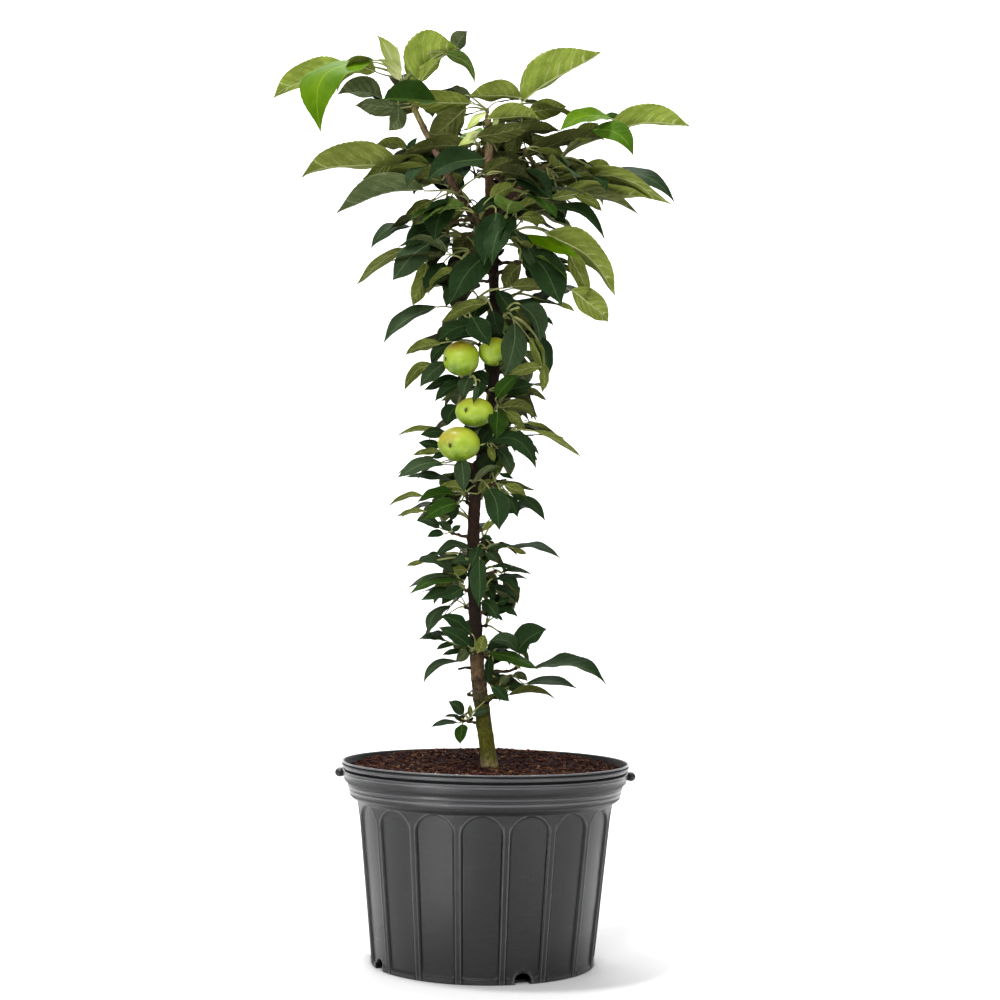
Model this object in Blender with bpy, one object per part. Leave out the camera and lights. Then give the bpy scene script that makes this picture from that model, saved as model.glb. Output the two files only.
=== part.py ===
"""Columnar dwarf apple tree in a fluted nursery pot, at its real size.

Units are metres, +Z is up. The origin is the centre of the pot's flat underside,
-Y is the front. The pot is a thin moulded shell, the soil fills it, the trunk
stands on the soil with a flat cut, and the crown is a set of uneven masses of
foliage grouped in tiers round the trunk and its boughs.
"""

import math
import random

import bmesh
import bpy
from mathutils import Vector

for obj in list(bpy.data.objects):
    bpy.data.objects.remove(obj, do_unlink=True)

# ---------------------------------------------------------------- dimensions

GAP = 0.0003  # clearance between pieces that touch

# Pot: 370 mm over the lip, 254.5 mm high, seventeen arched flutes.
POT_HEIGHT = 0.2545
LIP_RADIUS = 0.1850
FOOT_RADIUS = 0.1430
BODY_TOP_Z = 0.2045
BODY_TOP_RADIUS = 0.1640
FLUTES = 17
FRONT_FLUTE = -90.6  # azimuth of the flute that faces the front, degrees
RIB_WIDTH = 0.0090  # flat rib left between two flutes
FLUTE_WALL = 0.0022  # width of the sloping side of a flute
FLUTE_DEPTH = 0.0016  # at the side of the panel
PANEL_FLATNESS = 0.0014  # more depth in the middle, because the panel is flatter than the wall
FLUTE_FOOT_Z = 0.0060
ARCH_RISE = 0.0250
ARCH_TOP_Z = 0.2025
WALL = 0.0026
FLOOR = 0.0030
RIM_PROFILE = (  # (z, radius) of the bands from the flare up to the lip
    (0.2122, 0.1746),
    (0.2227, 0.1767),
    (0.2320, 0.1815),
    (0.2425, 0.1830),
    (0.2452, 0.1802),
    (0.2462, 0.1832),
    (POT_HEIGHT, LIP_RADIUS),
)
LIP_INNER_RADIUS = 0.1815
DRAIN_WIDTH = 0.0210
DRAIN_HEIGHT = 0.0135
DRAIN_AZIMUTHS = tuple(FRONT_FLUTE + step * 360.0 / FLUTES for step in (-3, 1, 5, 9))  # under every fourth flute
LUG_REACH = 0.1936
LUG_LENGTH = 0.0260
LUG_RADIUS = 0.0058
LUG_Z = 0.2390

# Soil: a little under the lip in front, heaped towards the back.
SOIL_SIDES = 48
SOIL_TOP_Z = 0.2478
SOIL_HEAP = 0.0115
SOIL_DISC_RADIUS = 0.0280  # flat spot that the trunk stands on

# Trunk: (height, x, y, radius). It leans left over its foot and swings back above.
TRUNK_SIDES = 10
TRUNK_CUT_Z = SOIL_TOP_Z + GAP
TRUNK_STATIONS = (
    (TRUNK_CUT_Z, 0.0060, -0.0060, 0.0128),
    (0.2600, 0.0040, -0.0055, 0.0107),
    (0.3340, -0.0069, -0.0040, 0.0099),
    (0.3725, -0.0122, -0.0020, 0.0089),
    (0.4370, -0.0162, 0.0000, 0.0083),
    (0.5400, -0.0205, 0.0010, 0.0079),
    (0.6120, -0.0175, 0.0010, 0.0077),
    (0.6710, -0.0065, 0.0000, 0.0074),
    (0.7630, 0.0034, 0.0000, 0.0070),
    (0.8760, 0.0010, 0.0010, 0.0067),
    (0.9800, -0.0062, 0.0020, 0.0063),
    (1.0530, -0.0086, 0.0020, 0.0056),
    (1.0960, -0.0110, 0.0020, 0.0040),
)

# Boughs: (name, height on the trunk, end point, radius at the fork, radius at the end, sag).
BOUGH_SIDES = 8
BOUGHS = (
    ("bough_left", 0.9300, (-0.1080, -0.0050, 1.1060), 0.0062, 0.0042, -0.0120),
    ("bough_right", 0.9560, (0.0560, 0.0130, 1.0330), 0.0048, 0.0036, -0.0060),
    ("bough_back", 0.9050, (0.0080, 0.0780, 1.0350), 0.0050, 0.0036, -0.0080),
)

# Foliage: each mass runs out from the trunk at one azimuth (degrees, 0 is right, -90 is the front).
# (name, azimuth, inner reach, outer reach, height at the inside, height at the tip, width, thickness)
# Reaches are measured from the trunk's axis at the mass's own height.
MASSES = (
    ("foliage_top_centre", 183, 0.018, 0.142, 1.166, 1.172, 0.116, 0.096),
    ("foliage_top_far_left", 181, 0.104, 0.284, 1.138, 1.120, 0.104, 0.076),
    ("foliage_top_right", -6, 0.016, 0.154, 1.126, 1.176, 0.104, 0.070),
    ("foliage_top_far_right", 3, 0.084, 0.268, 1.082, 1.088, 0.108, 0.062),
    ("foliage_top_front", -96, 0.018, 0.150, 1.092, 1.070, 0.170, 0.084),
    ("foliage_top_back", 88, 0.018, 0.176, 1.108, 1.098, 0.140, 0.084),
    ("foliage_top_back_left", 137, 0.056, 0.205, 1.096, 1.088, 0.116, 0.066),
    ("foliage_top_back_right", 43, 0.060, 0.210, 1.094, 1.084, 0.116, 0.062),
    ("foliage_upper_left", 180, 0.054, 0.250, 1.030, 0.998, 0.116, 0.086),
    ("foliage_upper_right", -1, 0.036, 0.244, 1.016, 0.978, 0.116, 0.092),
    ("foliage_upper_front", -92, 0.020, 0.140, 1.008, 0.944, 0.136, 0.104),
    ("foliage_upper_front_left", -140, 0.028, 0.150, 1.018, 0.974, 0.096, 0.084),
    ("foliage_upper_front_right", -40, 0.030, 0.146, 1.010, 0.964, 0.096, 0.080),
    ("foliage_upper_back_left", 124, 0.028, 0.190, 1.010, 0.986, 0.124, 0.084),
    ("foliage_upper_back_right", 54, 0.030, 0.190, 1.000, 0.972, 0.124, 0.084),
    ("foliage_middle_left", 182, 0.020, 0.184, 0.930, 0.872, 0.116, 0.110),
    ("foliage_middle_right", -5, 0.020, 0.168, 0.924, 0.862, 0.116, 0.118),
    ("foliage_middle_front", -84, 0.020, 0.120, 0.908, 0.856, 0.110, 0.104),
    ("foliage_middle_back", 92, 0.020, 0.156, 0.918, 0.878, 0.150, 0.110),
    ("foliage_fruiting_left", 180, 0.018, 0.148, 0.812, 0.770, 0.096, 0.106),
    ("foliage_fruiting_right", -24, 0.014, 0.088, 0.812, 0.772, 0.096, 0.116),
    ("foliage_fruiting_back", 92, 0.016, 0.112, 0.810, 0.780, 0.130, 0.106),
    ("foliage_lower_left", 184, 0.018, 0.112, 0.684, 0.648, 0.094, 0.094),
    ("foliage_lower_right", -6, 0.016, 0.126, 0.706, 0.666, 0.096, 0.106),
    ("foliage_lower_back", 94, 0.016, 0.110, 0.702, 0.674, 0.120, 0.092),
    ("foliage_waist_left", 184, 0.018, 0.115, 0.600, 0.580, 0.086, 0.060),
    ("foliage_waist_right", -30, 0.016, 0.092, 0.604, 0.572, 0.086, 0.066),
    ("foliage_waist_back", 96, 0.018, 0.098, 0.600, 0.580, 0.096, 0.054),
    ("foliage_spur_left", 182, 0.018, 0.090, 0.516, 0.488, 0.078, 0.064),
    ("foliage_spur_right", -4, 0.016, 0.114, 0.508, 0.508, 0.072, 0.058),
    ("foliage_spur_back", 86, 0.016, 0.084, 0.510, 0.496, 0.070, 0.048),
    ("foliage_foot_left", 186, 0.016, 0.062, 0.446, 0.424, 0.060, 0.050),
    ("foliage_foot_right", -6, 0.016, 0.094, 0.444, 0.424, 0.068, 0.068),
    ("foliage_foot_back", 100, 0.016, 0.080, 0.430, 0.414, 0.064, 0.042),
    ("foliage_low_pad_left", 182, 0.016, 0.072, 0.382, 0.362, 0.036, 0.026),
    ("foliage_low_pad_right", -3, 0.016, 0.170, 0.374, 0.352, 0.062, 0.044),
    ("foliage_lowest_left", 184, 0.016, 0.070, 0.306, 0.304, 0.046, 0.056),
)
MASS_ARCH = 0.10  # rise of a mass's middle over its chord, as a share of its length
MASS_TAPER = 0.22  # how much narrower it is at its tip than in its middle
MASS_RINGS = 7
MASS_SIDES = 8
UNEVENNESS = 0.24  # share of a mass's own radius that its hollows lose
SEED = 11

# ------------------------------------------------------------------ materials


def material(name, colour, roughness, metallic=0.0):
    """A plain Principled material of this colour."""
    found = bpy.data.materials.get(name)
    if found:
        return found
    mat = bpy.data.materials.new(name)
    mat.use_nodes = True
    shader = mat.node_tree.nodes["Principled BSDF"]
    shader.inputs["Base Color"].default_value = (*colour, 1.0)
    shader.inputs["Roughness"].default_value = roughness
    shader.inputs["Metallic"].default_value = metallic
    return mat


POT_PLASTIC = material("pot_plastic", (0.045, 0.046, 0.048), 0.5)
SOIL = material("bark_mix", (0.050, 0.024, 0.018), 0.95)
BARK = material("bark", (0.115, 0.078, 0.045), 0.8)
YOUNG_BARK = material("young_bark", (0.230, 0.130, 0.090), 0.7)
LEAF_GREENS = (
    material("leaves_dark", (0.030, 0.085, 0.025), 0.55),
    material("leaves_mid", (0.060, 0.130, 0.030), 0.55),
    material("leaves_pale", (0.160, 0.230, 0.060), 0.6),
)

# -------------------------------------------------------------------- helpers


def add_object(name, bm, mat, sharp_angle=None):
    """The bmesh as a named object in the scene, with outward normals."""
    bmesh.ops.recalc_face_normals(bm, faces=bm.faces)
    mesh = bpy.data.meshes.new(name)
    bm.to_mesh(mesh)
    bm.free()
    mesh.materials.append(mat)
    if sharp_angle is not None:
        mesh.shade_smooth()
        mesh.set_sharp_from_angle(angle=math.radians(sharp_angle))
    obj = bpy.data.objects.new(name, mesh)
    bpy.context.scene.collection.objects.link(obj)
    return obj


def skin(bm, rings):
    """Quads between each ring of points and the next, and a flat cap at both ends."""
    loops = [[bm.verts.new(point) for point in ring] for ring in rings]
    count = len(loops[0])
    for low, high in zip(loops, loops[1:]):
        for i in range(count):
            j = (i + 1) % count
            bm.faces.new((low[i], low[j], high[j], high[i]))
    bm.faces.new(loops[0][::-1])
    bm.faces.new(loops[-1])


def smoothstep(low, high, value):
    share = min(max((value - low) / (high - low), 0.0), 1.0)
    return share * share * (3.0 - 2.0 * share)


def polar(radius, angle, z):
    return Vector((radius * math.cos(angle), radius * math.sin(angle), z))


# ------------------------------------------------------------------------ pot


def body_radius(z):
    """Radius of the pot's tapered body, before the flutes are sunk into it."""
    return FOOT_RADIUS + (BODY_TOP_RADIUS - FOOT_RADIUS) * z / BODY_TOP_Z


def pot_outside():
    """Rings of the outer skin, from the foot up to the lip.

    Each flute has seven columns: the outer and the inner edge of each sloping
    side, a point part of the way in from each, and the panel's middle. The flat
    rib lies between two flutes. The two rows at the arch follow it, so that its
    line is true.
    """
    sector = 2.0 * math.pi / FLUTES
    radius = body_radius(ARCH_TOP_Z)
    rib = 0.5 * RIB_WIDTH / radius
    side = rib + FLUTE_WALL / radius
    half = 0.5 * sector
    offsets = [rib, side, side + 0.42 * (half - side), half]
    offsets += [sector - x for x in reversed(offsets[:-1])]
    columns = []
    for flute in range(FLUTES):
        start = math.radians(FRONT_FLUTE) - half + flute * sector
        columns += [(start + offset, offset) for offset in offsets]

    def depth(offset):
        from_side = min(offset, sector - offset)
        if from_side < side - 1e-9:
            return 0.0
        share = (from_side - side) / (half - side)
        return FLUTE_DEPTH + PANEL_FLATNESS * math.sin(0.5 * math.pi * share)

    def arch(offset, edge):
        """Height of the arch over this column, for the flute's outer or inner edge."""
        across = abs(offset - half) / (half - edge)
        lift = math.sqrt(max(0.0, 1.0 - min(across, 1.0) ** 2))
        return ARCH_TOP_Z - ARCH_RISE + ARCH_RISE * lift

    rings = []
    rings.append([polar(body_radius(0.0) - 0.0012, a, 0.0) for a, _ in columns])
    rings.append([polar(body_radius(0.0012), a, 0.0012) for a, _ in columns])
    rings.append([polar(body_radius(FLUTE_FOOT_Z), a, FLUTE_FOOT_Z) for a, _ in columns])
    foot = FLUTE_FOOT_Z + FLUTE_WALL
    rings.append([polar(body_radius(foot) - depth(o), a, foot) for a, o in columns])
    inner, outer = [], []
    for a, o in columns:
        z = arch(o, side)
        inner.append(polar(body_radius(z) - depth(o), a, z))
        z = min(arch(o, rib) + FLUTE_WALL, BODY_TOP_Z - 0.0004)
        outer.append(polar(body_radius(z), a, z))
    rings += [inner, outer]
    rings.append([polar(BODY_TOP_RADIUS, a, BODY_TOP_Z) for a, _ in columns])
    rings += [[polar(r, a, z) for a, _ in columns] for z, r in RIM_PROFILE]
    return rings, [a for a, _ in columns]


def pot_inside(angles):
    """Rings of the hollow, from the lip down to the floor."""
    floor_radius = body_radius(FLOOR) - FLUTE_DEPTH - PANEL_FLATNESS - WALL
    neck_z = BODY_TOP_Z - 0.004
    neck_radius = body_radius(neck_z) - FLUTE_DEPTH - PANEL_FLATNESS - WALL
    profile = (
        (POT_HEIGHT, LIP_INNER_RADIUS),
        (0.2425, 0.1775),
        (0.2125, 0.1705),
        (neck_z, neck_radius),
        (FLOOR, floor_radius),
    )
    return [[polar(r, a, z) for a in angles] for z, r in profile], profile


def drain_cutter(azimuth):
    """A short arch-topped tunnel through the foot of the wall."""
    bm = bmesh.new()
    half = 0.5 * DRAIN_WIDTH
    outline = [(-half, -0.004)]
    steps = 8
    for i in range(steps + 1):
        turn = math.pi * (1.0 - i / steps)
        outline.append((half * math.cos(turn), DRAIN_HEIGHT * (0.35 + 0.65 * math.sin(turn))))
    outline.append((half, -0.004))
    turn = math.radians(azimuth)
    out, along = Vector((math.cos(turn), math.sin(turn), 0)), Vector((-math.sin(turn), math.cos(turn), 0))
    rings = []
    for reach in (FOOT_RADIUS - 0.0120, FOOT_RADIUS + 0.0080):
        rings.append([out * reach + along * x + Vector((0, 0, z)) for x, z in outline])
    skin(bm, rings)
    cutter = add_object(f"drain_cutter_{azimuth:.0f}", bm, POT_PLASTIC)
    cutter.hide_render = True
    cutter.display_type = "WIRE"
    return cutter


def lug_shape(side):
    """A round-ended lug that stands out under the lip, its root sunk into the wall."""
    bm = bmesh.new()
    segments = 10
    centre = LUG_REACH - LUG_RADIUS
    rings = []
    for share, shrink in ((-0.5, 0.62), (-0.36, 1.0), (0.36, 1.0), (0.5, 0.62)):
        ring = []
        for i in range(segments):
            turn = 2.0 * math.pi * (i + 0.5) / segments
            x = LUG_RADIUS * shrink * math.cos(turn)
            if x < 0.0:
                x *= 1.6  # the root reaches in to the wall
            ring.append(Vector((side * (centre + x), share * LUG_LENGTH, LUG_Z + LUG_RADIUS * shrink * math.sin(turn))))
        rings.append(ring)
    skin(bm, rings)
    lug = add_object("lug_left" if side < 0 else "lug_right", bm, POT_PLASTIC)
    lug.hide_render = True
    lug.display_type = "WIRE"
    return lug


def add_boolean(obj, other, operation):
    modifier = obj.modifiers.new(other.name, "BOOLEAN")
    modifier.operation = operation
    modifier.solver = "EXACT"
    modifier.object = other


outside, column_angles = pot_outside()
inside, hollow_profile = pot_inside(column_angles)
pot_mesh = bmesh.new()
skin(pot_mesh, outside + inside)
pot = add_object("pot", pot_mesh, POT_PLASTIC, sharp_angle=28)
for side in (-1, 1):
    add_boolean(pot, lug_shape(side), "UNION")
for azimuth in DRAIN_AZIMUTHS:
    add_boolean(pot, drain_cutter(azimuth), "DIFFERENCE")

# ----------------------------------------------------------------------- soil


def hollow_radius(z):
    """Radius of the pot's hollow at this height."""
    for (z1, r1), (z0, r0) in zip(hollow_profile, hollow_profile[1:]):
        if z >= z0:
            return r0 + (r1 - r0) * (z - z0) / (z1 - z0)
    return hollow_profile[-1][1]


def soil_height(x, y):
    """Height of the soil: flat round the trunk's foot, heaped at the back."""
    away = math.hypot(x - TRUNK_STATIONS[0][1], y - TRUNK_STATIONS[0][2])
    rise = SOIL_HEAP * smoothstep(-0.01, 0.10, y) * (1.0 - smoothstep(0.13, 0.185, math.hypot(x, y)))
    ripple = 0.0011 * math.sin(61.0 * x + 1.3) * math.cos(47.0 * y - 0.6)
    return SOIL_TOP_Z + (rise + ripple) * smoothstep(SOIL_DISC_RADIUS, 0.07, away)


def soil_ring(share):
    """One ring of the soil's top, its share of the way from the trunk's foot to the wall."""
    foot_x, foot_y = TRUNK_STATIONS[0][1:3]
    wall = hollow_radius(SOIL_TOP_Z) - 0.0009
    ring = []
    for i in range(SOIL_SIDES):
        turn = 2.0 * math.pi * i / SOIL_SIDES
        near = Vector((foot_x + SOIL_DISC_RADIUS * math.cos(turn), foot_y + SOIL_DISC_RADIUS * math.sin(turn)))
        far = Vector((wall * math.cos(turn), wall * math.sin(turn)))
        x, y = near.lerp(far, share)
        ring.append(Vector((x, y, soil_height(x, y))))
    return ring


soil_mesh = bmesh.new()
soil_floor = [
    polar(hollow_radius(z) - 0.0006, 2.0 * math.pi * i / SOIL_SIDES, z)
    for z in (FLOOR + GAP,)
    for i in range(SOIL_SIDES)
]
soil_neck = [
    polar(hollow_radius(hollow_profile[3][0]) - 0.0006, 2.0 * math.pi * i / SOIL_SIDES, hollow_profile[3][0])
    for i in range(SOIL_SIDES)
]
skin(soil_mesh, [soil_floor, soil_neck] + [soil_ring(share) for share in (1.0, 0.72, 0.42, 0.0)])
add_object("soil", soil_mesh, SOIL, sharp_angle=35)

# ------------------------------------------------------------ trunk and boughs


def catmull(points, share):
    """A smooth curve through equally spaced rows of numbers, share from 0 to 1."""
    spans = len(points) - 1
    position = min(max(share, 0.0), 1.0) * spans
    i = min(int(position), spans - 1)
    t = position - i
    rows = [points[min(max(k, 0), spans)] for k in (i - 1, i, i + 1, i + 2)]
    result = []
    for a, b, c, d in zip(*rows):
        result.append(
            0.5 * (2 * b + (c - a) * t + (2 * a - 5 * b + 4 * c - d) * t**2 + (3 * b - a - 3 * c + d) * t**3)
        )
    return result


def trunk_at(z):
    """(centre, radius) of the trunk at this height, which holds above its tip too."""
    rows = TRUNK_STATIONS
    z = min(max(z, rows[0][0]), rows[-1][0])
    for low, high in zip(rows, rows[1:]):
        if z <= high[0]:
            t = (z - low[0]) / (high[0] - low[0])
            x, y, radius = (low[k] + (high[k] - low[k]) * t for k in (1, 2, 3))
            return Vector((x, y, z)), radius
    return Vector(rows[-1][1:3] + (z,)), rows[-1][3]


def trunk_rings():
    """Level rings up the trunk, oval and slightly buttressed at the root flare."""
    rings, limb = [], []
    for z, x, y, radius in TRUNK_STATIONS:
        ring = []
        flare = 1.0 - smoothstep(TRUNK_CUT_Z, TRUNK_CUT_Z + 0.02, z)
        for i in range(TRUNK_SIDES):
            turn = 2.0 * math.pi * i / TRUNK_SIDES
            lobe = 1.0 + 0.10 * flare * math.cos(3.0 * turn + 0.8)
            ring.append(Vector((x, y, 0.0)) + polar(radius * lobe, turn, z))
        rings.append(ring)
        limb.append((Vector((x, y, z)), radius))
    return rings, limb


trunk_mesh = bmesh.new()
rings, trunk_limb = trunk_rings()
skin(trunk_mesh, rings)
add_object("trunk", trunk_mesh, BARK, sharp_angle=50)


def bough_limb(fork_z, end, fork_radius, end_radius, sag, stations=8):
    """(centre, radius) along a bough, from just outside the trunk's skin to its end."""
    centre, trunk_radius = trunk_at(fork_z)
    end = Vector(end)
    level = Vector((end.x - centre.x, end.y - centre.y, 0.0)).normalized()
    way = (end - centre).normalized()
    clear = (trunk_radius + fork_radius + 0.0012) / max(way.dot(level), 0.2)
    start = centre + way * clear
    limb = []
    for i in range(stations):
        t = i / (stations - 1)
        bow = math.sin(math.pi * t)
        point = start.lerp(end, t) + level * (-sag * bow) + Vector((0, 0, sag * bow * 0.6))
        limb.append((point, fork_radius + (end_radius - fork_radius) * t))
    return limb


def sweep(limb, sides):
    """Rings across a limb, square to its direction."""
    rings = []
    for i, (point, radius) in enumerate(limb):
        before, after = limb[max(i - 1, 0)][0], limb[min(i + 1, len(limb) - 1)][0]
        way = (after - before).normalized()
        across = way.cross(Vector((0.0, 0.0, 1.0))).normalized()
        up = across.cross(way)
        rings.append(
            [
                point + across * radius * math.cos(2 * math.pi * k / sides) + up * radius * math.sin(2 * math.pi * k / sides)
                for k in range(sides)
            ]
        )
    return rings


limbs = {"trunk": trunk_limb}
for name, fork_z, end, fork_radius, end_radius, sag in BOUGHS:
    limb = bough_limb(fork_z, end, fork_radius, end_radius, sag)
    limbs[name] = limb
    bough_mesh = bmesh.new()
    skin(bough_mesh, sweep(limb, BOUGH_SIDES))
    add_object(name, bough_mesh, YOUNG_BARK, sharp_angle=50)

# -------------------------------------------------------------------- foliage


class Mass:
    """One mass of leaves: an ellipsoid along its own axis, before it is cut back."""

    def __init__(self, name, azimuth, inner, outer, z_in, z_tip, width, thickness):
        self.name = name
        turn = math.radians(azimuth)
        out = Vector((math.cos(turn), math.sin(turn), 0.0))
        root_axis, _ = trunk_at(z_in)
        tip_axis, _ = trunk_at(z_tip)
        root = Vector((root_axis.x, root_axis.y, z_in)) + out * inner
        tip = Vector((tip_axis.x, tip_axis.y, z_tip)) + out * outer
        self.centre = 0.5 * (root + tip)
        along = (tip - root).normalized()
        across = Vector((0.0, 0.0, 1.0)).cross(along).normalized()
        up = along.cross(across)
        self.axes = (along, across, up)
        self.half = (0.5 * (tip - root).length, 0.5 * width, 0.5 * thickness)
        self.planes = []

    def support(self, way):
        """How far the ellipsoid reaches from its centre in this direction."""
        return math.sqrt(sum((h * way.dot(axis)) ** 2 for h, axis in zip(self.half, self.axes)))

    def point(self, u, v, w):
        """A point of the arched, tapering mass, for a point of the unit ball."""
        along, across, up = self.axes
        long, wide, thick = self.half
        taper = 1.0 - MASS_TAPER * u
        arch = MASS_ARCH * long * (1.0 - u * u)
        return self.centre + along * long * u + across * wide * taper * v + up * (thick * taper * w + arch)

    def cut(self, way, distance):
        self.planes.append((way, distance))


masses = [Mass(*row) for row in MASSES]
for i, mass in enumerate(masses):
    for other in masses[i + 1 :]:
        way = other.centre - mass.centre
        apart = way.length
        way.normalize()
        mine, theirs = mass.support(way), other.support(way)
        if mine + theirs > apart - GAP:
            split = apart * mine / (mine + theirs)
            mass.cut(way, split - 2 * GAP)
            other.cut(-way, apart - split - 2 * GAP)
    for limb in limbs.values():
        fine = []
        for (a, ra), (b, rb) in zip(limb, limb[1:]):
            fine += [(a.lerp(b, t / 6), ra + (rb - ra) * t / 6) for t in range(7)]
        nearest, _ = min(fine, key=lambda row: (row[0] - mass.centre).length)
        way = (nearest - mass.centre).normalized()
        bound = max(mass.half) + 0.02
        near = [row for row in fine if (row[0] - mass.centre).length < bound]
        if near:
            limit = min((point - mass.centre).dot(way) - 1.12 * radius for point, radius in near)
            if limit < mass.support(way) + 0.002:
                mass.cut(way, limit - 0.0015)

rng = random.Random(SEED)
for mass in masses:
    ball = bmesh.new()
    bmesh.ops.create_uvsphere(ball, u_segments=MASS_SIDES, v_segments=MASS_RINGS, radius=1.0)
    for vertex in ball.verts:
        local = vertex.co.normalized()
        uneven = 1.0 if local.z > 0.999 else 1.0 - UNEVENNESS * rng.random()
        ray = mass.point(local.z * uneven, local.x * uneven, local.y * uneven) - mass.centre
        length = ray.length
        way = ray.normalized()
        for normal, distance in mass.planes:
            slope = way.dot(normal)
            if slope > 1e-6:
                length = min(length, max(distance, 0.002) / slope)
        vertex.co = mass.centre + way * length
    bmesh.ops.triangulate(ball, faces=ball.faces)
    height = mass.centre.z
    green = LEAF_GREENS[2 if height > 1.0 else 1 if height > 0.85 else 0]
    add_object(mass.name, ball, green)
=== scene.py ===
"""Looks of a dwarf columnar apple tree in a fluted nursery pot.

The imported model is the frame. Leaves, twigs, fruit, bark relief, the fine pot
and the loose soil are built here in metres, +Z up and -Y the front. Leaves that
show from the front are written in a table of base, tip and margins; the rest of
the crown grows on from the same limbs by a seeded rule.
"""

import math
import random

import bmesh
import bpy
import numpy as np
from mathutils import Matrix, Vector, noise


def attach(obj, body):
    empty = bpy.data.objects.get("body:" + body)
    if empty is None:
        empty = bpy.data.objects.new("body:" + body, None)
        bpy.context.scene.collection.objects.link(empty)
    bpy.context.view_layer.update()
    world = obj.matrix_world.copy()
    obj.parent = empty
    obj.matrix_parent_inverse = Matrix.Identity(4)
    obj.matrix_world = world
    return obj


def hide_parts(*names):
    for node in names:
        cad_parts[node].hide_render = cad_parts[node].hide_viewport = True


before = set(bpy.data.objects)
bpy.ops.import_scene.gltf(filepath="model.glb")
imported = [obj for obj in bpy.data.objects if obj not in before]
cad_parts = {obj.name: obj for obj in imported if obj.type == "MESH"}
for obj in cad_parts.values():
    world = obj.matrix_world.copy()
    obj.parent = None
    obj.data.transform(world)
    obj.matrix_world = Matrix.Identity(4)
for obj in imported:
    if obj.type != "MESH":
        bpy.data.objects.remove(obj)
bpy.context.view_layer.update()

SEED = 20
GAP = 0.0003

# ------------------------------------------------------------------- camera

EYE = np.array([0.0133, -2.347, 0.4758])
FOCAL = 1807.4  # in thousandths of the picture's width
PITCH = 0.05
ROLL = 0.0159
FORWARD = np.array([0.0, math.cos(PITCH), math.sin(PITCH)])
UPWARD = np.array([0.0, -math.sin(PITCH), math.cos(PITCH)])
RIGHT = np.array([1.0, 0.0, 0.0])


def at(across, down, depth):
    """World point at this place of the front view (thousandths) and this depth (mm, - is nearer)."""
    a, b = across - 500.0, down - 500.0
    u = a * math.cos(ROLL) + b * math.sin(ROLL)
    v = -a * math.sin(ROLL) + b * math.cos(ROLL)
    ray = RIGHT * u / FOCAL - UPWARD * v / FOCAL + FORWARD
    return EYE + ray * ((depth / 1000.0 - EYE[1]) / ray[1])


def seen(points):
    """Places of world points in the front view, in thousandths."""
    rel = np.asarray(points, float) - EYE
    x, y, z = rel @ RIGHT, rel @ UPWARD, rel @ FORWARD
    u, v = FOCAL * x / z, -FOCAL * y / z
    return np.stack(
        [500 + u * math.cos(ROLL) - v * math.sin(ROLL), 500 + u * math.sin(ROLL) + v * math.cos(ROLL)], -1
    )


# ---------------------------------------------------------------- mesh soup


class Soup:
    """Vertices, faces, material indices and two UV sets gathered into one mesh."""

    def __init__(self):
        self.points, self.faces, self.mats, self.uvs, self.bakes = [], [], [], [], []
        self.count = 0

    def add(self, points, faces, mat=0, uv=None, bake=None):
        """Faces are an (n, 3) or (n, 4) array; uv and bake are (n, corners, 2)."""
        points = np.asarray(points, float).reshape(-1, 3)
        start = self.count
        self.points.append(points)
        self.count += len(points)
        self.more(np.asarray(faces, int) + start, mat, uv, bake)
        return start

    def more(self, faces, mat=0, uv=None, bake=None):
        self.faces.append(faces)
        self.mats.append(np.full(len(faces), mat, np.int32) if np.isscalar(mat) else np.asarray(mat, np.int32))
        shape = (faces.shape[0], faces.shape[1], 2)
        self.uvs.append(np.zeros(shape) if uv is None else np.asarray(uv, float).reshape(shape))
        self.bakes.append(np.zeros(shape) if bake is None else np.asarray(bake, float).reshape(shape))

    def build(self, name, materials, with_uv=False, sharp=None):
        mesh = bpy.data.meshes.new(name)
        points = np.concatenate(self.points)
        sizes = np.concatenate([np.full(len(f), f.shape[1], np.int32) for f in self.faces])
        corners = np.concatenate([f.reshape(-1) for f in self.faces]).astype(np.int32)
        mesh.vertices.add(len(points))
        mesh.vertices.foreach_set("co", points.astype(np.float32).reshape(-1))
        mesh.loops.add(len(corners))
        mesh.loops.foreach_set("vertex_index", corners)
        mesh.polygons.add(len(sizes))
        mesh.polygons.foreach_set("loop_start", np.concatenate([[0], np.cumsum(sizes)[:-1]]).astype(np.int32))
        mesh.polygons.foreach_set("material_index", np.concatenate(self.mats))
        mesh.update(calc_edges=True)
        if with_uv:
            for layer_name, rows in (("LeafUV", self.uvs), ("OFBake", self.bakes)):
                layer = mesh.uv_layers.new(name=layer_name)
                flat = np.concatenate([r.reshape(-1) for r in rows]).astype(np.float32)
                layer.data.foreach_set("uv", flat)
        for mat in materials:
            mesh.materials.append(mat)
        mesh.validate(clean_customdata=False)
        mesh.shade_smooth()
        if sharp is not None:
            mesh.set_sharp_from_angle(angle=math.radians(sharp))
        obj = bpy.data.objects.new(name, mesh)
        bpy.context.scene.collection.objects.link(obj)
        return obj


def smoothstep(low, high, value):
    share = np.clip((value - low) / (high - low), 0.0, 1.0)
    return share * share * (3.0 - 2.0 * share)


def unit(v):
    return v / max(np.linalg.norm(v), 1e-12)


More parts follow.
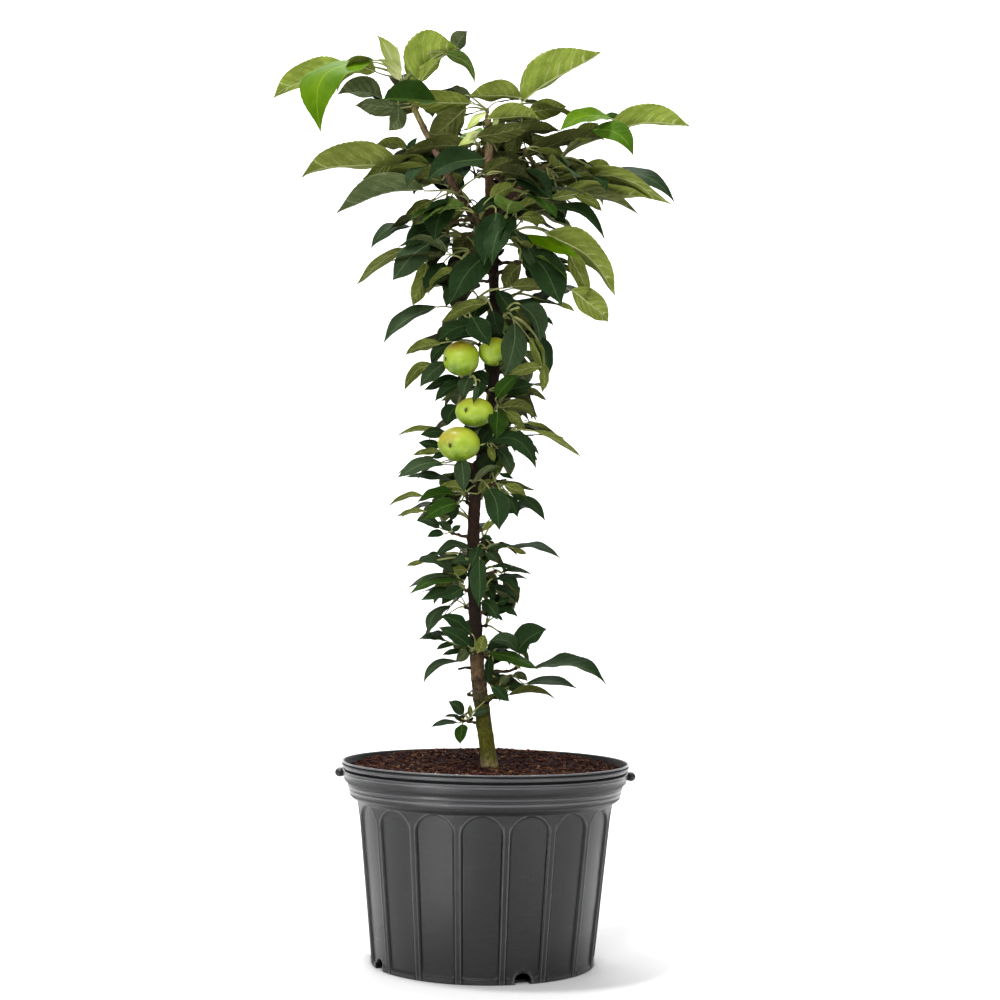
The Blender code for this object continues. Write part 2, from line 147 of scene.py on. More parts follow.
def tube_rings(path, radii, sides, squash=1.0):
    """Rings of points round a path, carried along it without twist."""
    path = np.asarray(path, float)
    tangents = np.gradient(path, axis=0)
    tangents /= np.maximum(np.linalg.norm(tangents, axis=1), 1e-12)[:, None]
    side = np.cross(tangents[0], [0.31, 0.17, 0.93])
    if np.linalg.norm(side) < 0.05:
        side = np.cross(tangents[0], [1.0, 0.2, 0.1])
    side = unit(side)
    turn = np.arange(sides) * 2 * math.pi / sides
    rings = []
    for p, t, r in zip(path, tangents, radii):
        side = unit(side - t * (side @ t))
        other = np.cross(t, side)
        rings.append(p + r * (np.cos(turn)[:, None] * side + squash * np.sin(turn)[:, None] * other))
    return np.array(rings)


def ring_faces(rows, sides, base=0):
    """Quads between rings that run round an axis, turned outward."""
    i, j = np.meshgrid(np.arange(rows - 1), np.arange(sides), indexing="ij")
    k = (j + 1) % sides
    return base + np.stack([i * sides + j, i * sides + k, (i + 1) * sides + k, (i + 1) * sides + j], -1).reshape(-1, 4)


def add_tube(soup, path, radii, sides=6, mat=0, squash=1.0):
    rings = tube_rings(path, radii, sides, squash)
    rows = len(rings)
    path = np.asarray(path, float)
    points = np.concatenate([rings.reshape(-1, 3), path[:1], path[-1:]])
    start = soup.add(points, ring_faces(rows, sides), mat)
    j = np.arange(sides)
    k = (j + 1) % sides
    low = np.stack([k, j, np.full(sides, rows * sides)], -1)
    high = np.stack([(rows - 1) * sides + j, (rows - 1) * sides + k, np.full(sides, rows * sides + 1)], -1)
    soup.more(start + np.concatenate([low, high]), mat)
    return start


def bezier(a, b, c, d, steps):
    t = np.linspace(0, 1, steps)[:, None]
    return (1 - t) ** 3 * a + 3 * (1 - t) ** 2 * t * b + 3 * (1 - t) * t**2 * c + t**3 * d


# ---------------------------------------------------------------- materials


def new_material(name, roughness=0.6):
    mat = bpy.data.materials.new(name)
    mat.use_nodes = True
    tree = mat.node_tree
    shader = tree.nodes["Principled BSDF"]
    shader.inputs["Roughness"].default_value = roughness
    return mat, tree, shader


class Nodes:
    """Short names for the few node kinds used."""

    def __init__(self, tree):
        self.tree = tree

    def new(self, kind, **settings):
        node = self.tree.nodes.new(kind)
        for key, value in settings.items():
            setattr(node, key, value)
        return node

    def link(self, a, b):
        self.tree.links.new(a, b)

    def value(self, socket, value):
        if isinstance(value, bpy.types.NodeSocket):
            self.link(value, socket)
        else:
            socket.default_value = value

    def math(self, operation, a, b=0.0, c=None, clamp=False):
        node = self.new("ShaderNodeMath", operation=operation, use_clamp=clamp)
        self.value(node.inputs[0], a)
        self.value(node.inputs[1], b)
        if c is not None:
            self.value(node.inputs[2], c)
        return node.outputs[0]

    def mix(self, share, a, b, blend="MIX"):
        node = self.new("ShaderNodeMix", data_type="RGBA", blend_type=blend)
        self.value(node.inputs["Factor"], share)
        for socket, value in ((node.inputs[6], a), (node.inputs[7], b)):
            if isinstance(value, bpy.types.NodeSocket):
                self.link(value, socket)
            else:
                socket.default_value = (*value, 1.0)
        return node.outputs[2]

    def ramp(self, share, stops, interpolation="LINEAR"):
        node = self.new("ShaderNodeValToRGB")
        node.color_ramp.interpolation = interpolation
        elements = node.color_ramp.elements
        while len(elements) < len(stops):
            elements.new(0.5)
        for element, (place, colour) in zip(elements, stops):
            element.position = place
            element.color = (*colour, 1.0) if len(colour) == 3 else colour
        self.link(share, node.inputs[0])
        return node.outputs[0]

    def noise(self, vector, scale, detail=3.0, roughness=0.55, distortion=0.0):
        node = self.new("ShaderNodeTexNoise")
        self.value(node.inputs["Vector"], vector)
        node.inputs["Scale"].default_value = scale
        node.inputs["Detail"].default_value = detail
        node.inputs["Roughness"].default_value = roughness
        node.inputs["Distortion"].default_value = distortion
        return node.outputs["Fac"]

    def place(self, kind="Object"):
        return self.new("ShaderNodeTexCoord").outputs[kind]

    def scaled(self, vector, scale):
        node = self.new("ShaderNodeMapping")
        self.link(vector, node.inputs["Vector"])
        node.inputs["Scale"].default_value = scale
        return node.outputs[0]

    def bump(self, height, strength, distance, shader):
        node = self.new("ShaderNodeBump")
        node.inputs["Strength"].default_value = strength
        node.inputs["Distance"].default_value = distance
        self.link(height, node.inputs["Height"])
        self.link(node.outputs[0], shader.inputs["Normal"])
        return node


def srgb(r, g, b):
    """Linear colour of an 8-bit screen colour."""
    return tuple(((c / 255 + 0.055) / 1.055) ** 2.4 if c > 10 else c / 255 / 12.92 for c in (r, g, b))


def leaf_material(name, lamina, shade, vein, roughness, vein_share, relief, blotch=0.5, specular=0.16, margin=0.3, tip=None, side=0.3, painted_rib_shade=0.14, strength=0.4, mesh=0.3):
    """A leaf's face: lamina, midrib and side veins drawn in the leaf's own coordinates."""
    mat, tree, shader = new_material(name, roughness)
    shader.inputs["Specular IOR Level"].default_value = specular
    n = Nodes(tree)
    uv = n.new("ShaderNodeUVMap", uv_map="LeafUV").outputs[0]
    parts = n.new("ShaderNodeSeparateXYZ")
    n.link(uv, parts.inputs[0])
    across = n.math("ABSOLUTE", n.math("MULTIPLY_ADD", parts.outputs[0], 2.0, -1.0))
    along = parts.outputs[1]
    # Midrib, widest at the base.
    width = n.math("MULTIPLY_ADD", along, -0.055, 0.078)
    midrib = n.math("SUBTRACT", 1.0, n.math("DIVIDE", across, width), clamp=True)
    midrib = n.math("MULTIPLY", midrib, 1.6, clamp=True)
    # Side veins leave the midrib forward and bend on towards the tip; the two halves don't quite match.
    half_shift = n.math("MULTIPLY", n.math("GREATER_THAN", parts.outputs[0], 0.5), 0.045)
    wobble = n.math("MULTIPLY", n.noise(uv, 4.0, 2.0), 0.13)
    sweep = n.math("SUBTRACT", along, n.math("MULTIPLY", n.math("POWER", across, 1.3), 0.32))
    phase = n.math("FRACT", n.math("MULTIPLY", n.math("ADD", n.math("ADD", sweep, wobble), half_shift), 6.5))
    off = n.math("ABSOLUTE", n.math("SUBTRACT", phase, 0.5))
    fade = n.math("SUBTRACT", 1.0, n.math("MULTIPLY", across, 0.55))
    veins = n.math("SUBTRACT", 1.0, n.math("DIVIDE", off, n.math("MULTIPLY_ADD", across, -0.07, 0.115)), clamp=True)
    # Some side veins stand out and others hardly show.
    bold = n.ramp(n.noise(n.scaled(uv, (0.6, 1.0, 1.0)), 5.5, 1.0), [(0.42, (0.22, 0.22, 0.22)), (0.58, (1, 1, 1))])
    veins = n.math("MULTIPLY", n.math("MULTIPLY", veins, fade), bold)
    cells = n.new("ShaderNodeTexVoronoi", feature="DISTANCE_TO_EDGE")
    n.link(n.scaled(uv, (15.0, 27.0, 1.0)), cells.inputs["Vector"])
    cells.inputs["Scale"].default_value = 1.0
    net = n.math("SUBTRACT", 1.0, n.math("MULTIPLY", cells.outputs["Distance"], 8.0), clamp=True)
    line = n.math("MAXIMUM", midrib, n.math("MULTIPLY", veins, side), clamp=True)
    line = n.math("MAXIMUM", line, n.math("MULTIPLY", net, mesh * side), clamp=True)
    mottle = n.ramp(n.noise(uv, 2.6, 4.0, 0.62), [(0.38, (0, 0, 0)), (0.58, (1, 1, 1))])
    ground = n.mix(n.math("MULTIPLY", mottle, blotch), lamina, shade)
    # Between two side veins the lamina is painted darker towards the far vein, as shade on its swell.
    ground = n.mix(n.math("MULTIPLY", phase, painted_rib_shade), ground, shade)
    edge = n.math("SUBTRACT", 1.0, n.math("DIVIDE", n.math("SUBTRACT", 1.0, across), 0.09), clamp=True)
    if tip is not None:
        reach = n.math("MULTIPLY_ADD", n.noise(uv, 5.0, 3.0), 0.5, n.math("MULTIPLY_ADD", along, 1.25, -0.45), clamp=True)
        ground = n.mix(reach, ground, tip)
    ground = n.mix(n.math("MULTIPLY", n.math("MULTIPLY", edge, mottle), 0.5), ground, shade)
    colour = n.mix(n.math("MULTIPLY", line, vein_share), ground, vein)
    colour = n.mix(n.math("MULTIPLY", n.math("GREATER_THAN", across, 0.93), margin), colour, vein)
    n.link(colour, shader.inputs["Base Color"])
    # The lamina swells between its side veins.
    swell = n.math("SINE", n.math("MULTIPLY", n.math("SUBTRACT", 0.5, off), math.pi))
    height = n.math("ADD", n.math("MULTIPLY", swell, -0.8), n.math("MULTIPLY", n.noise(uv, 26.0, 3.0), 0.5))
    height = n.math("ADD", height, n.math("MULTIPLY", line, relief))
    n.bump(height, strength, 0.0011, shader)
    return mat


# Slots of the leaf pieces, in order. Each has its own cell on the bake map.
BACK = dict(specular=0.08, side=0.85, painted_rib_shade=0.62, strength=1.0, blotch=0.8, mesh=0.1)
LEAF_SLOTS = {
    "top_shade": leaf_material("leaf_top_shade", srgb(27, 42, 20), srgb(17, 29, 13), srgb(58, 72, 40), 0.6, 0.6, -0.6, specular=0.05),
    "top_deep": leaf_material("leaf_top_deep", srgb(35, 56, 27), srgb(22, 39, 16), srgb(82, 102, 60), 0.6, 0.6, -0.6, specular=0.05),
    "top_fresh": leaf_material("leaf_top_fresh", srgb(42, 70, 16), srgb(28, 52, 11), srgb(98, 122, 56), 0.6, 0.6, -0.6, specular=0.05),
    "top_bright": leaf_material("leaf_top_bright", srgb(88, 120, 2), srgb(48, 86, 1), srgb(134, 160, 30), 0.55, 0.4, -0.6, specular=0.06, margin=0.4),
    "top_mid": leaf_material("leaf_top_mid", srgb(72, 106, 18), srgb(48, 80, 10), srgb(124, 150, 60), 0.6, 0.6, -0.6, specular=0.05),
    "top_grey": leaf_material("leaf_top_grey", srgb(52, 70, 43), srgb(35, 51, 28), srgb(104, 120, 82), 0.6, 0.6, -0.6, specular=0.05),
    "young": leaf_material("leaf_young", srgb(198, 204, 142), srgb(168, 178, 96), srgb(232, 234, 196), 0.62, 0.6, 0.6, tip=srgb(132, 148, 44)),
    "back_shade": leaf_material("leaf_back_shade", srgb(70, 74, 38), srgb(48, 52, 24), srgb(104, 110, 66), 0.78, 0.7, 0.9, **BACK),
    "back_dark": leaf_material("leaf_back_dark", srgb(100, 106, 52), srgb(70, 76, 32), srgb(150, 158, 98), 0.78, 0.75, 0.9, **BACK),
    "back_olive": leaf_material("leaf_back_olive", srgb(132, 142, 66), srgb(94, 104, 38), srgb(192, 200, 128), 0.78, 0.8, 0.9, **BACK),
    "back_mid": leaf_material("leaf_back_mid", srgb(142, 154, 68), srgb(102, 114, 38), srgb(208, 216, 146), 0.78, 0.8, 0.9, **BACK),
    "back_pale": leaf_material("leaf_back_pale", srgb(162, 180, 76), srgb(110, 128, 38), srgb(228, 234, 166), 0.78, 0.8, 0.9, **BACK),
    "back_grey": leaf_material("leaf_back_grey", srgb(102, 114, 74), srgb(72, 84, 48), srgb(154, 164, 122), 0.78, 0.75, 0.9, **BACK),
    "back_green": leaf_material("leaf_back_green", srgb(104, 128, 56), srgb(72, 96, 34), srgb(170, 188, 112), 0.78, 0.75, 0.9, **BACK),
}
SLOT_NAMES = list(LEAF_SLOTS)
SLOT = {name: i for i, name in enumerate(SLOT_NAMES)}
# The underside slots are lit and shaded copies of one underside: back_pale and back_mid are painted light coming
# through and under the leaves, back_dark and back_shade painted shade. top_shade is painted shade too.
TONES = {  # tone: (slot of the upper face, slot of the underside)
    0: ("top_deep", "back_dark"),
    1: ("top_grey", "back_olive"),
    2: ("top_bright", "back_pale"),
    3: ("young", "young"),
    4: ("top_grey", "back_grey"),
    5: ("top_fresh", "back_green"),
    6: ("top_shade", "back_shade"),
    7: ("top_grey", "back_mid"),
    8: ("top_mid", "back_green"),
}
BAKE_COLUMNS, BAKE_ROWS = 4, 4

# ------------------------------------------------------------- leaf template

ROWS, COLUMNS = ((37, 7))
PROFILE = [
    (0.0, 0.0), (0.02, 0.10), (0.06, 0.32), (0.12, 0.58), (0.2, 0.80), (0.3, 0.95), (0.4, 1.0),
    (0.52, 0.98), (0.64, 0.88), (0.74, 0.72), (0.82, 0.52), (0.88, 0.33), (0.93, 0.17), (0.97, 0.07), (1.0, 0.0),
]
ALONG = np.linspace(0.0, 1.0, ROWS) ** 1.0
WIDTH = np.interp(ALONG, *zip(*PROFILE))
HALF_STEPS = (COLUMNS - 1) // 2
ACROSS = np.concatenate([-np.linspace(1, 0, HALF_STEPS + 1)[:-1] ** 0.85, [0], np.linspace(0, 1, HALF_STEPS + 1)[1:] ** 0.85])


def leaf_template():
    """Faces of one leaf: an upper and a lower sheet that share their margin."""
    inner = ROWS - 2  # full rows; the two ends are single points
    upper = np.arange(inner * COLUMNS).reshape(inner, COLUMNS)
    lower = upper.copy()
    first = inner * COLUMNS
    lower[:, 1:-1] = first + np.arange(inner * (COLUMNS - 2)).reshape(inner, COLUMNS - 2)
    base = first + inner * (COLUMNS - 2)
    tip = base + 1
    quads, quad_rows = [], []
    for i in range(inner - 1):
        for j in range(COLUMNS - 1):
            quads.append((upper[i, j], upper[i + 1, j], upper[i + 1, j + 1], upper[i, j + 1]))
            quad_rows.append(((i + 1, j), (i + 2, j), (i + 2, j + 1), (i + 1, j + 1)))
    top_quads = len(quads)
    for i in range(inner - 1):
        for j in range(COLUMNS - 1):
            quads.append((lower[i, j], lower[i, j + 1], lower[i + 1, j + 1], lower[i + 1, j]))
            quad_rows.append(((i + 1, j), (i + 1, j + 1), (i + 2, j + 1), (i + 2, j)))
    tris, tri_rows = [], []
    last = inner - 1
    for j in range(COLUMNS - 1):
        tris.append((base, upper[0, j], upper[0, j + 1]))
        tri_rows.append(((0, j), (1, j), (1, j + 1)))
        tris.append((tip, upper[last, j + 1], upper[last, j]))
        tri_rows.append(((ROWS - 1, j), (last + 1, j + 1), (last + 1, j)))
    top_tris = len(tris)
    for j in range(COLUMNS - 1):
        tris.append((base, lower[0, j + 1], lower[0, j]))
        tri_rows.append(((0, j), (1, j + 1), (1, j)))
        tris.append((tip, lower[last, j], lower[last, j + 1]))
        tri_rows.append(((ROWS - 1, j), (last + 1, j), (last + 1, j + 1)))
    lateral = ACROSS[None, :] * np.maximum(WIDTH, 0.02)[:, None]

    def coords(rows):
        rows = np.array(rows)
        return np.stack([0.5 + 0.5 * lateral[rows[..., 0], rows[..., 1]], ALONG[rows[..., 0]]], -1)

    return {
        "quads": np.array(quads), "tris": np.array(tris), "top_quads": top_quads, "top_tris": top_tris,
        "quad_uv": coords(quad_rows), "tri_uv": coords(tri_rows), "inner": inner,
    }


TEMPLATE = leaf_template()


def bake_cell(uv, slot_index):
    """A leaf's own coordinates squeezed into its slot's cell of the bake map."""
    column, row = slot_index % BAKE_COLUMNS, slot_index // BAKE_COLUMNS
    pad = 0.03
    inside = pad + uv * (1 - 2 * pad)
    return (inside + np.array([column, row])) / np.array([BAKE_COLUMNS, BAKE_ROWS])


class Leaf:
    """One leaf: where its midrib runs, which way its two halves lean, and its tone."""

    def __init__(self, base, tip, up, down, face, sag, tone, rng, viewer=None, bulge=None, wave=None, skew=0.0, twist=None):
        self.tone = tone
        self.base, self.tip = np.asarray(base, float), np.asarray(tip, float)
        chord = self.tip - self.base
        length = np.linalg.norm(chord)
        axis = chord / length
        middle = 0.5 * (self.base + self.tip)
        to_eye = unit((EYE if viewer is None else viewer) - middle)
        toward = unit(to_eye - axis * (to_eye @ axis))
        side = np.cross(axis, toward)
        sign = 1.0
        outward = 1.0 if middle[0] > 0.0 else -1.0
        if side[2] + 0.25 * outward * side[0] < 0:
            side, sign = -side, -1.0
        k = 1.0 if face == "U" else -1.0
        half = max(up, down, 0.21 * math.hypot(length, 1.6 * sag))
        half *= 1.02
        self.length, self.half = length, half
        lean_up, lean_down = math.acos(min(up / half, 1.0)), math.acos(min(down / half, 1.0))
        bulge = rng.uniform(0.02, 0.07) * length if bulge is None else bulge
        hump = np.sin(math.pi * ALONG ** (1.0 + 0.35 * skew))
        spine = self.base + axis * (ALONG * length)[:, None]
        spine = spine + side * (sag * hump)[:, None] + toward * (k * bulge * hump)[:, None]
        # A small sideways waver of the midrib, and a droop at the very tip.
        spine = spine + side * (0.012 * length * np.sin(2 * math.pi * ALONG + rng.uniform(0, 6.3)))[:, None]
        tangent = np.gradient(spine, axis=0)
        tangent /= np.linalg.norm(tangent, axis=1)[:, None]
        side_local = side - tangent * (tangent @ side)[:, None]
        side_local /= np.linalg.norm(side_local, axis=1)[:, None]
        toward_local = np.cross(side_local, tangent)
        toward_local *= np.sign(toward_local @ toward)[:, None]
        twist = rng.uniform(-0.22, 0.22) if twist is None else twist
        turn = twist * (ALONG - 0.45)
        shown = min(1.0, max(up, down) / half + 0.1)
        wave_size = (rng.uniform(0.35, 1.0) if wave is None else wave) * 0.15 * half * shown
        waves = rng.choice((1.5, 2.0, 2.5))
        phase = rng.uniform(0, 6.3), rng.uniform(0, 6.3)
        cup = rng.uniform(-0.10, 0.16) * half
        order = range(COLUMNS) if -k * sign > 0 else range(COLUMNS - 1, -1, -1)
        sheet, normals = np.zeros((ROWS, COLUMNS, 3)), np.zeros((ROWS, COLUMNS, 3))
        bite = 0.034 if length > 0.034 else 0.016
        teeth = np.array([1.0 + (bite if row % 2 == 0 else -0.3 * bite) * rng.uniform(0.5, 1.0) for row in range(ROWS)])
        # The tip hooks a little to one side.
        hook = np.clip((ALONG - 0.78) / 0.22, 0, 1) ** 2 * rng.uniform(-0.05, 0.03) * length
        spine = spine - toward * (k * np.abs(hook) * 1.2)[:, None] + side * hook[:, None]
        for column in range(COLUMNS):
            share = ACROSS[column]  # -1 is the margin below the midrib, +1 the one above
            lean = lean_up if share >= 0 else lean_down
            lean = lean + turn * (1 if share >= 0 else -1)
            flip = 1.0 if share >= 0 else -1.0
            direction = flip * (side_local * np.cos(lean)[:, None] - toward_local * (k * np.sin(lean))[:, None])
            normal = side_local * np.sin(lean)[:, None] + toward_local * (k * np.cos(lean))[:, None]
            reach = abs(share) * WIDTH * half
            if abs(share) == 1.0:
                reach = reach * teeth
            ripple = wave_size * share**2 * np.sin(2 * math.pi * waves * ALONG + phase[0 if share > 0 else 1]) * WIDTH
            cupped = cup * (abs(share) ** 2) * WIDTH
            quilt = 0.00028 * np.sin(2 * math.pi * 9 * (ALONG - 0.24 * (abs(share) * WIDTH) ** 1.25)) * (1 - share**4)
            sheet[:, column] = spine + direction * reach[:, None] + normal * (ripple + cupped + quilt)[:, None]
            normals[:, column] = normal
        middle_column = (COLUMNS - 1) // 2
        both = side_local * 0 + normals[:, middle_column + 1] + normals[:, middle_column - 1]
        normals[:, middle_column] = both / np.maximum(np.linalg.norm(both, axis=1), 1e-9)[:, None]
        order = list(order)
        self.sheet = sheet[:, order]
        self.normals = normals[:, order]
        self.start = tangent[0]

    def points(self):
        """Vertices in the template's order."""
        thick = np.full((ROWS, COLUMNS), 0.00034)
        middle = (COLUMNS - 1) // 2
        rib = 0.00125 - 0.0009 * ALONG
        thick[:, middle] = rib
        lower = self.sheet - self.normals * thick[..., None]
        return np.concatenate(
            [self.sheet[1:-1].reshape(-1, 3), lower[1:-1, 1:-1].reshape(-1, 3), self.sheet[0, :1], self.sheet[-1, :1]]
        )

    def outline(self):
        return self.sheet[:, ::2].reshape(-1, 3)


def add_leaf(soup, leaf):
    top, under = (SLOT[name] for name in TONES[leaf.tone])
    t = TEMPLATE
    quads = np.full(len(t["quads"]), under)
    quads[: t["top_quads"]] = top
    tris = np.full(len(t["tris"]), under)
    tris[: t["top_tris"]] = top
    quad_bake = np.concatenate([bake_cell(t["quad_uv"][: t["top_quads"]], top), bake_cell(t["quad_uv"][t["top_quads"] :], under)])
    tri_bake = np.concatenate([bake_cell(t["tri_uv"][: t["top_tris"]], top), bake_cell(t["tri_uv"][t["top_tris"] :], under)])
    start = soup.add(leaf.points(), t["quads"], quads, t["quad_uv"], quad_bake)
    soup.more(start + t["tris"], tris, t["tri_uv"], tri_bake)


# --------------------------------------------------------- trunk and boughs

TRUNK_STATIONS = (
    (0.2481, 0.0060, -0.0060, 0.0128), (0.2600, 0.0040, -0.0055, 0.0107), (0.3340, -0.0069, -0.0040, 0.0099),
    (0.3725, -0.0122, -0.0020, 0.0093), (0.4370, -0.0162, 0.0000, 0.0084), (0.5400, -0.0205, 0.0010, 0.0080),
    (0.6120, -0.0175, 0.0010, 0.0078), (0.6710, -0.0065, 0.0000, 0.0074), (0.7630, 0.0034, 0.0000, 0.0070),
    (0.8760, 0.0010, 0.0010, 0.0067), (0.9800, -0.0062, 0.0020, 0.0062), (1.0530, -0.0086, 0.0020, 0.0055),
    (1.0960, -0.0110, 0.0020, 0.0038),
)
BOUGHS = {
    "bough_left": [(-0.0030, 0.0010, 0.930), (-0.0212, 0.0000, 0.9560), (-0.0495, -0.0020, 0.9967), (-0.0861, -0.0040, 1.0637), (-0.1080, -0.0050, 1.1060)],
    "bough_right": [(-0.0040, 0.0020, 0.956), (0.0160, 0.0060, 0.9840), (0.0370, 0.0100, 1.0110), (0.0560, 0.0130, 1.0330)],
    "bough_back": [(-0.0005, 0.0020, 0.905), (0.0020, 0.0280, 0.9480), (0.0060, 0.0560, 0.9960), (0.0080, 0.0780, 1.0350)],
}
BOUGH_RADII = {"bough_left": (0.0060, 0.0040), "bough_right": (0.0048, 0.0034), "bough_back": (0.0048, 0.0034)}


def smooth_curve(points, steps):
    """A centripetal-looking spline through the points."""
    points = np.asarray(points, float)
    out = []
    spans = len(points) - 1
    for x in np.linspace(0, spans, steps):
        i = min(int(x), spans - 1)
        t = x - i
        a, b, c, d = (points[min(max(k, 0), spans)] for k in (i - 1, i, i + 1, i + 2))
        out.append(0.5 * (2 * b + (c - a) * t + (2 * a - 5 * b + 4 * c - d) * t**2 + (3 * b - a - 3 * c + d) * t**3))
    return np.array(out)


def trunk_line(step=0.0025):
    heights = np.arange(TRUNK_STATIONS[0][0], TRUNK_STATIONS[-1][0] + 0.5 * step, step)
    rows = np.array(TRUNK_STATIONS)
    fine = smooth_curve(rows, 400)
    return np.stack([np.interp(heights, fine[:, 0], fine[:, k]) for k in (1, 2)] + [heights], -1), np.interp(
        heights, fine[:, 0], fine[:, 3]
    )


TRUNK_PATH, TRUNK_RADII = trunk_line()
LIMBS = {"trunk": (TRUNK_PATH, TRUNK_RADII)}
for limb_name, limb_points in BOUGHS.items():
    limb_path = smooth_curve(limb_points, 60)
    LIMBS[limb_name] = (limb_path, np.linspace(*BOUGH_RADII[limb_name], 60))

# ------------------------------------------------------------ spurs and hubs

# Knuckles that leaves spring from: (across, down, depth mm), placed in the front view.
HUBS = [
    (404, 82, -6), (417, 108, -3), (430, 141, -6), (446, 172, 4), (458, 195, -8), (479, 222, 2),
    (487, 111, 2), (521, 105, -6), (489, 140, -8), (533, 166, 8), (546, 168, -8), (560, 160, -4), (506, 192, 10),
    (512, 234, -6), (462, 236, -10), (470, 252, -6), (486, 262, -22), (500, 262, 16), (478, 298, -14), (507, 300, 12),
    (503, 318, -8), (470, 322, -20), (479, 345, -8), (497, 372, 10), (468, 384, -10), (488, 392, -14), (498, 404, -12),
    (509, 434, -14), (488, 442, -16), (470, 452, -18), (460, 462, 2), (474, 482, -20), (495, 484, -14), (466, 494, -14),
    (452, 533, -4), (486, 549, -8), (470, 560, -22), (496, 571, -6), (461, 589, -8), (484, 592, -10), (475, 651, -14),
    (492, 654, -12), (511, 676, -4), (497, 697, -8), (468, 721, -6), (516, 668, -4), (484, 612, -10), (482, 530, -6),
]

